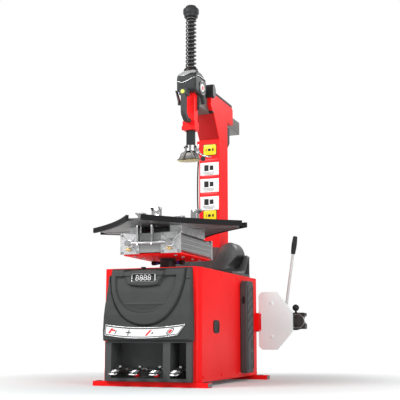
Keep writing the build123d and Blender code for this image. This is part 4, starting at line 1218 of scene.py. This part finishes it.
def makeFeet():
    # dark end plates, and a washer round each anchor hole of both floor channels
    ends, nuts = [], []
    for y, half in ((-412, footLook["front"]), (412, footLook["rear"])):
        for side in (-1, 1):
            plate = roundedOutline([(y - 24, 3), (y + 24, 3), (y + 24, 19.5), (y - 24, 19.5)], 2, 4)
            ends.append(slab(plate, 0, side * half - 0.5 if side > 0 else side * half - 0.9,
                             side * half + 0.9 if side > 0 else side * half + 0.5, 0.3, 2))
            nuts.append(lathe((side * footLook["anchor"], y, 22), (0, 0, 1), [(7.4, 0), (15, 0), (15, 1.6),
                                                                              (7.4, 2)], 32))
    putGrids("footEnds", ends, "padEdge", "cabinet")
    putGrids("footAnchors", nuts, "blackMetal", "cabinet", caps=False)


cabinetLook = {"side": 236, "plugY": -206, "plugZ": 267, "plugHalf": (40, 31), "plugPower": 3.6,
               "screwRows": (-370, -130, 100), "screwHeights": (44, 512), "louvres": (120, 300, 22)}


def makeCabinetDetails():
    # side plug, panel screws, rear louvres and the red inserts beside the pedals
    c = cabinetLook
    turn = np.linspace(0, 2 * math.pi, 64, endpoint=False)
    power, (halfY, halfZ) = c["plugPower"], c["plugHalf"]
    corner = (np.abs(np.cos(turn)) ** power + np.abs(np.sin(turn)) ** power) ** (-1 / power)
    rings = []
    for size, lift in ((1.0, -0.5), (1.0, 2.0), (0.96, 3.4), (0.86, 4.0), (0.80, 2.6), (0.45, 2.2),
                       (0.01, 2.2)):
        rings.append(np.column_stack([np.full(64, c["side"] + lift),
                                      c["plugY"] + halfY * size * corner * np.cos(turn),
                                      c["plugZ"] + halfZ * size * corner * np.sin(turn)]))
    putGrids("sidePlug", [np.stack(rings)], "pegBlack", "cabinet")
    screws = []
    for way in (1, -1):
        for y in c["screwRows"]:
            for z in c["screwHeights"]:
                screws.append(lathe((way * c["side"], y, z), (way, 0, 0), rounded(7, -0.5, 3, 1.2), 24))
    putGrids("panelScrews", screws, "redCoat", "cabinet")
    louvres = []
    for z in np.arange(*c["louvres"]):
        path = np.array([(-120, 431, z), (-60, 431, z), (0, 431, z), (40, 431, z)])
        swell = np.interp(np.linspace(0, 1, 30), [0, 0.06, 0.94, 1], [0.3, 1, 1, 0.3])
        louvres.append(carry(smoothPath(path, 30), ovalProfile(14, 2.4) * [5.0, 4.5], (0, 0, 1), swell))
    putGrids("rearLouvres", louvres, "redCoat", "cabinet")
    inserts = []
    for x in (-98, 0, 58):
        outline = roundedOutline([(x - 12, 40), (x + 12, 40), (x + 12, 60), (x - 12, 60)], 3, 4)
        inserts.append(slab(outline, 1, -356, -350, 1.2, 3))
    putGrids("bayInserts", inserts, "redCoat", "cabinet")


makeBreaker()
makeClamp()
makePad()
makeShroud()
makeFeet()
makeCabinetDetails()
print("breaker and cabinet made")

# floor, light and camera

sceneLook = {"floor": 0.70, "nearGlow": 0.06, "farGlow": 0.80, "world": 0.42, "key": 215.0, "fill": 88.0,
             "rim": 45.0}


def makeStage():
    bpy.ops.mesh.primitive_plane_add(size=40, location=(0, 0, 0))
    floor = bpy.context.active_object
    floor.name = "studioFloor"
    material = bpy.data.materials.new("studioFloor")
    material.use_nodes = True
    shader = material.node_tree.nodes["Principled BSDF"]
    pale = sceneLook["floor"]
    setInputs(shader, {"Base Color": (pale * 0.96, pale, pale, 1), "Roughness": 0.9,
                       "Specular IOR Level": 0.1, "Emission Color": (1, 1, 1, 1)})
    # the floor glows more with distance from the machine, so that it fades into the white surroundings
    tree = material.node_tree
    spot = addNode(tree, "ShaderNodeTexCoord", (-900, -200))
    far = addNode(tree, "ShaderNodeVectorMath", (-700, -200), operation="LENGTH")
    fade = addNode(tree, "ShaderNodeMapRange", (-500, -200), interpolation_type="SMOOTHSTEP")
    joinNodes(tree, [(spot, "Object", far, 0), (far, "Value", fade, "Value"),
                     (fade, "Result", shader, "Emission Strength")])
    setInputs(fade, {"From Min": 0.5, "From Max": 2.6, "To Min": sceneLook["nearGlow"],
                     "To Max": sceneLook["farGlow"]})
    floor.data.materials.append(material)
    world = bpy.data.worlds.new("studio")
    world.use_nodes = True
    # the surroundings light the machine softly, and are seen as plain white
    tree = world.node_tree
    lit = tree.nodes["Background"]
    setInputs(lit, {"Color": (1, 1, 1, 1), "Strength": sceneLook["world"]})
    seen = addNode(tree, "ShaderNodeBackground", (0, -200))
    setInputs(seen, {"Color": (1, 1, 1, 1)})
    path = addNode(tree, "ShaderNodeLightPath", (-200, 300))
    either = addNode(tree, "ShaderNodeMixShader", (250, 100))
    joinNodes(tree, [(path, "Is Camera Ray", either, 0), (lit, 0, either, 1), (seen, 0, either, 2),
                     (either, 0, tree.nodes["World Output"], "Surface")])
    bpy.context.scene.world = world
    for name, place, size, power in (("keyLight", (-2.6, -3.4, 3.6), 2.4, sceneLook["key"]),
                                     ("fillLight", (3.4, -2.4, 2.0), 2.2, sceneLook["fill"]),
                                     ("rimLight", (1.5, 3.2, 3.4), 2.0, sceneLook["rim"])):
        data = bpy.data.lights.new(name, "AREA")
        data.size = size
        data.energy = power
        lamp = bpy.data.objects.new(name, data)
        bpy.context.scene.collection.objects.link(lamp)
        lamp.location = place
        lamp.rotation_euler = (Vector((0, 0, 0.9)) - Vector(place)).to_track_quat("-Z", "Y").to_euler()
    data = bpy.data.cameras.new("viewCamera")
    data.sensor_width = 36
    data.lens = 74.47
    camera = bpy.data.objects.new("viewCamera", data)
    bpy.context.scene.collection.objects.link(camera)
    camera.location = (1.5588, -3.870, 0.2142)
    camera.rotation_euler = (math.radians(99.48), 0, math.radians(20.96))
    bpy.context.scene.camera = camera
    bpy.context.scene.view_settings.view_transform = "Standard"


makeStage()
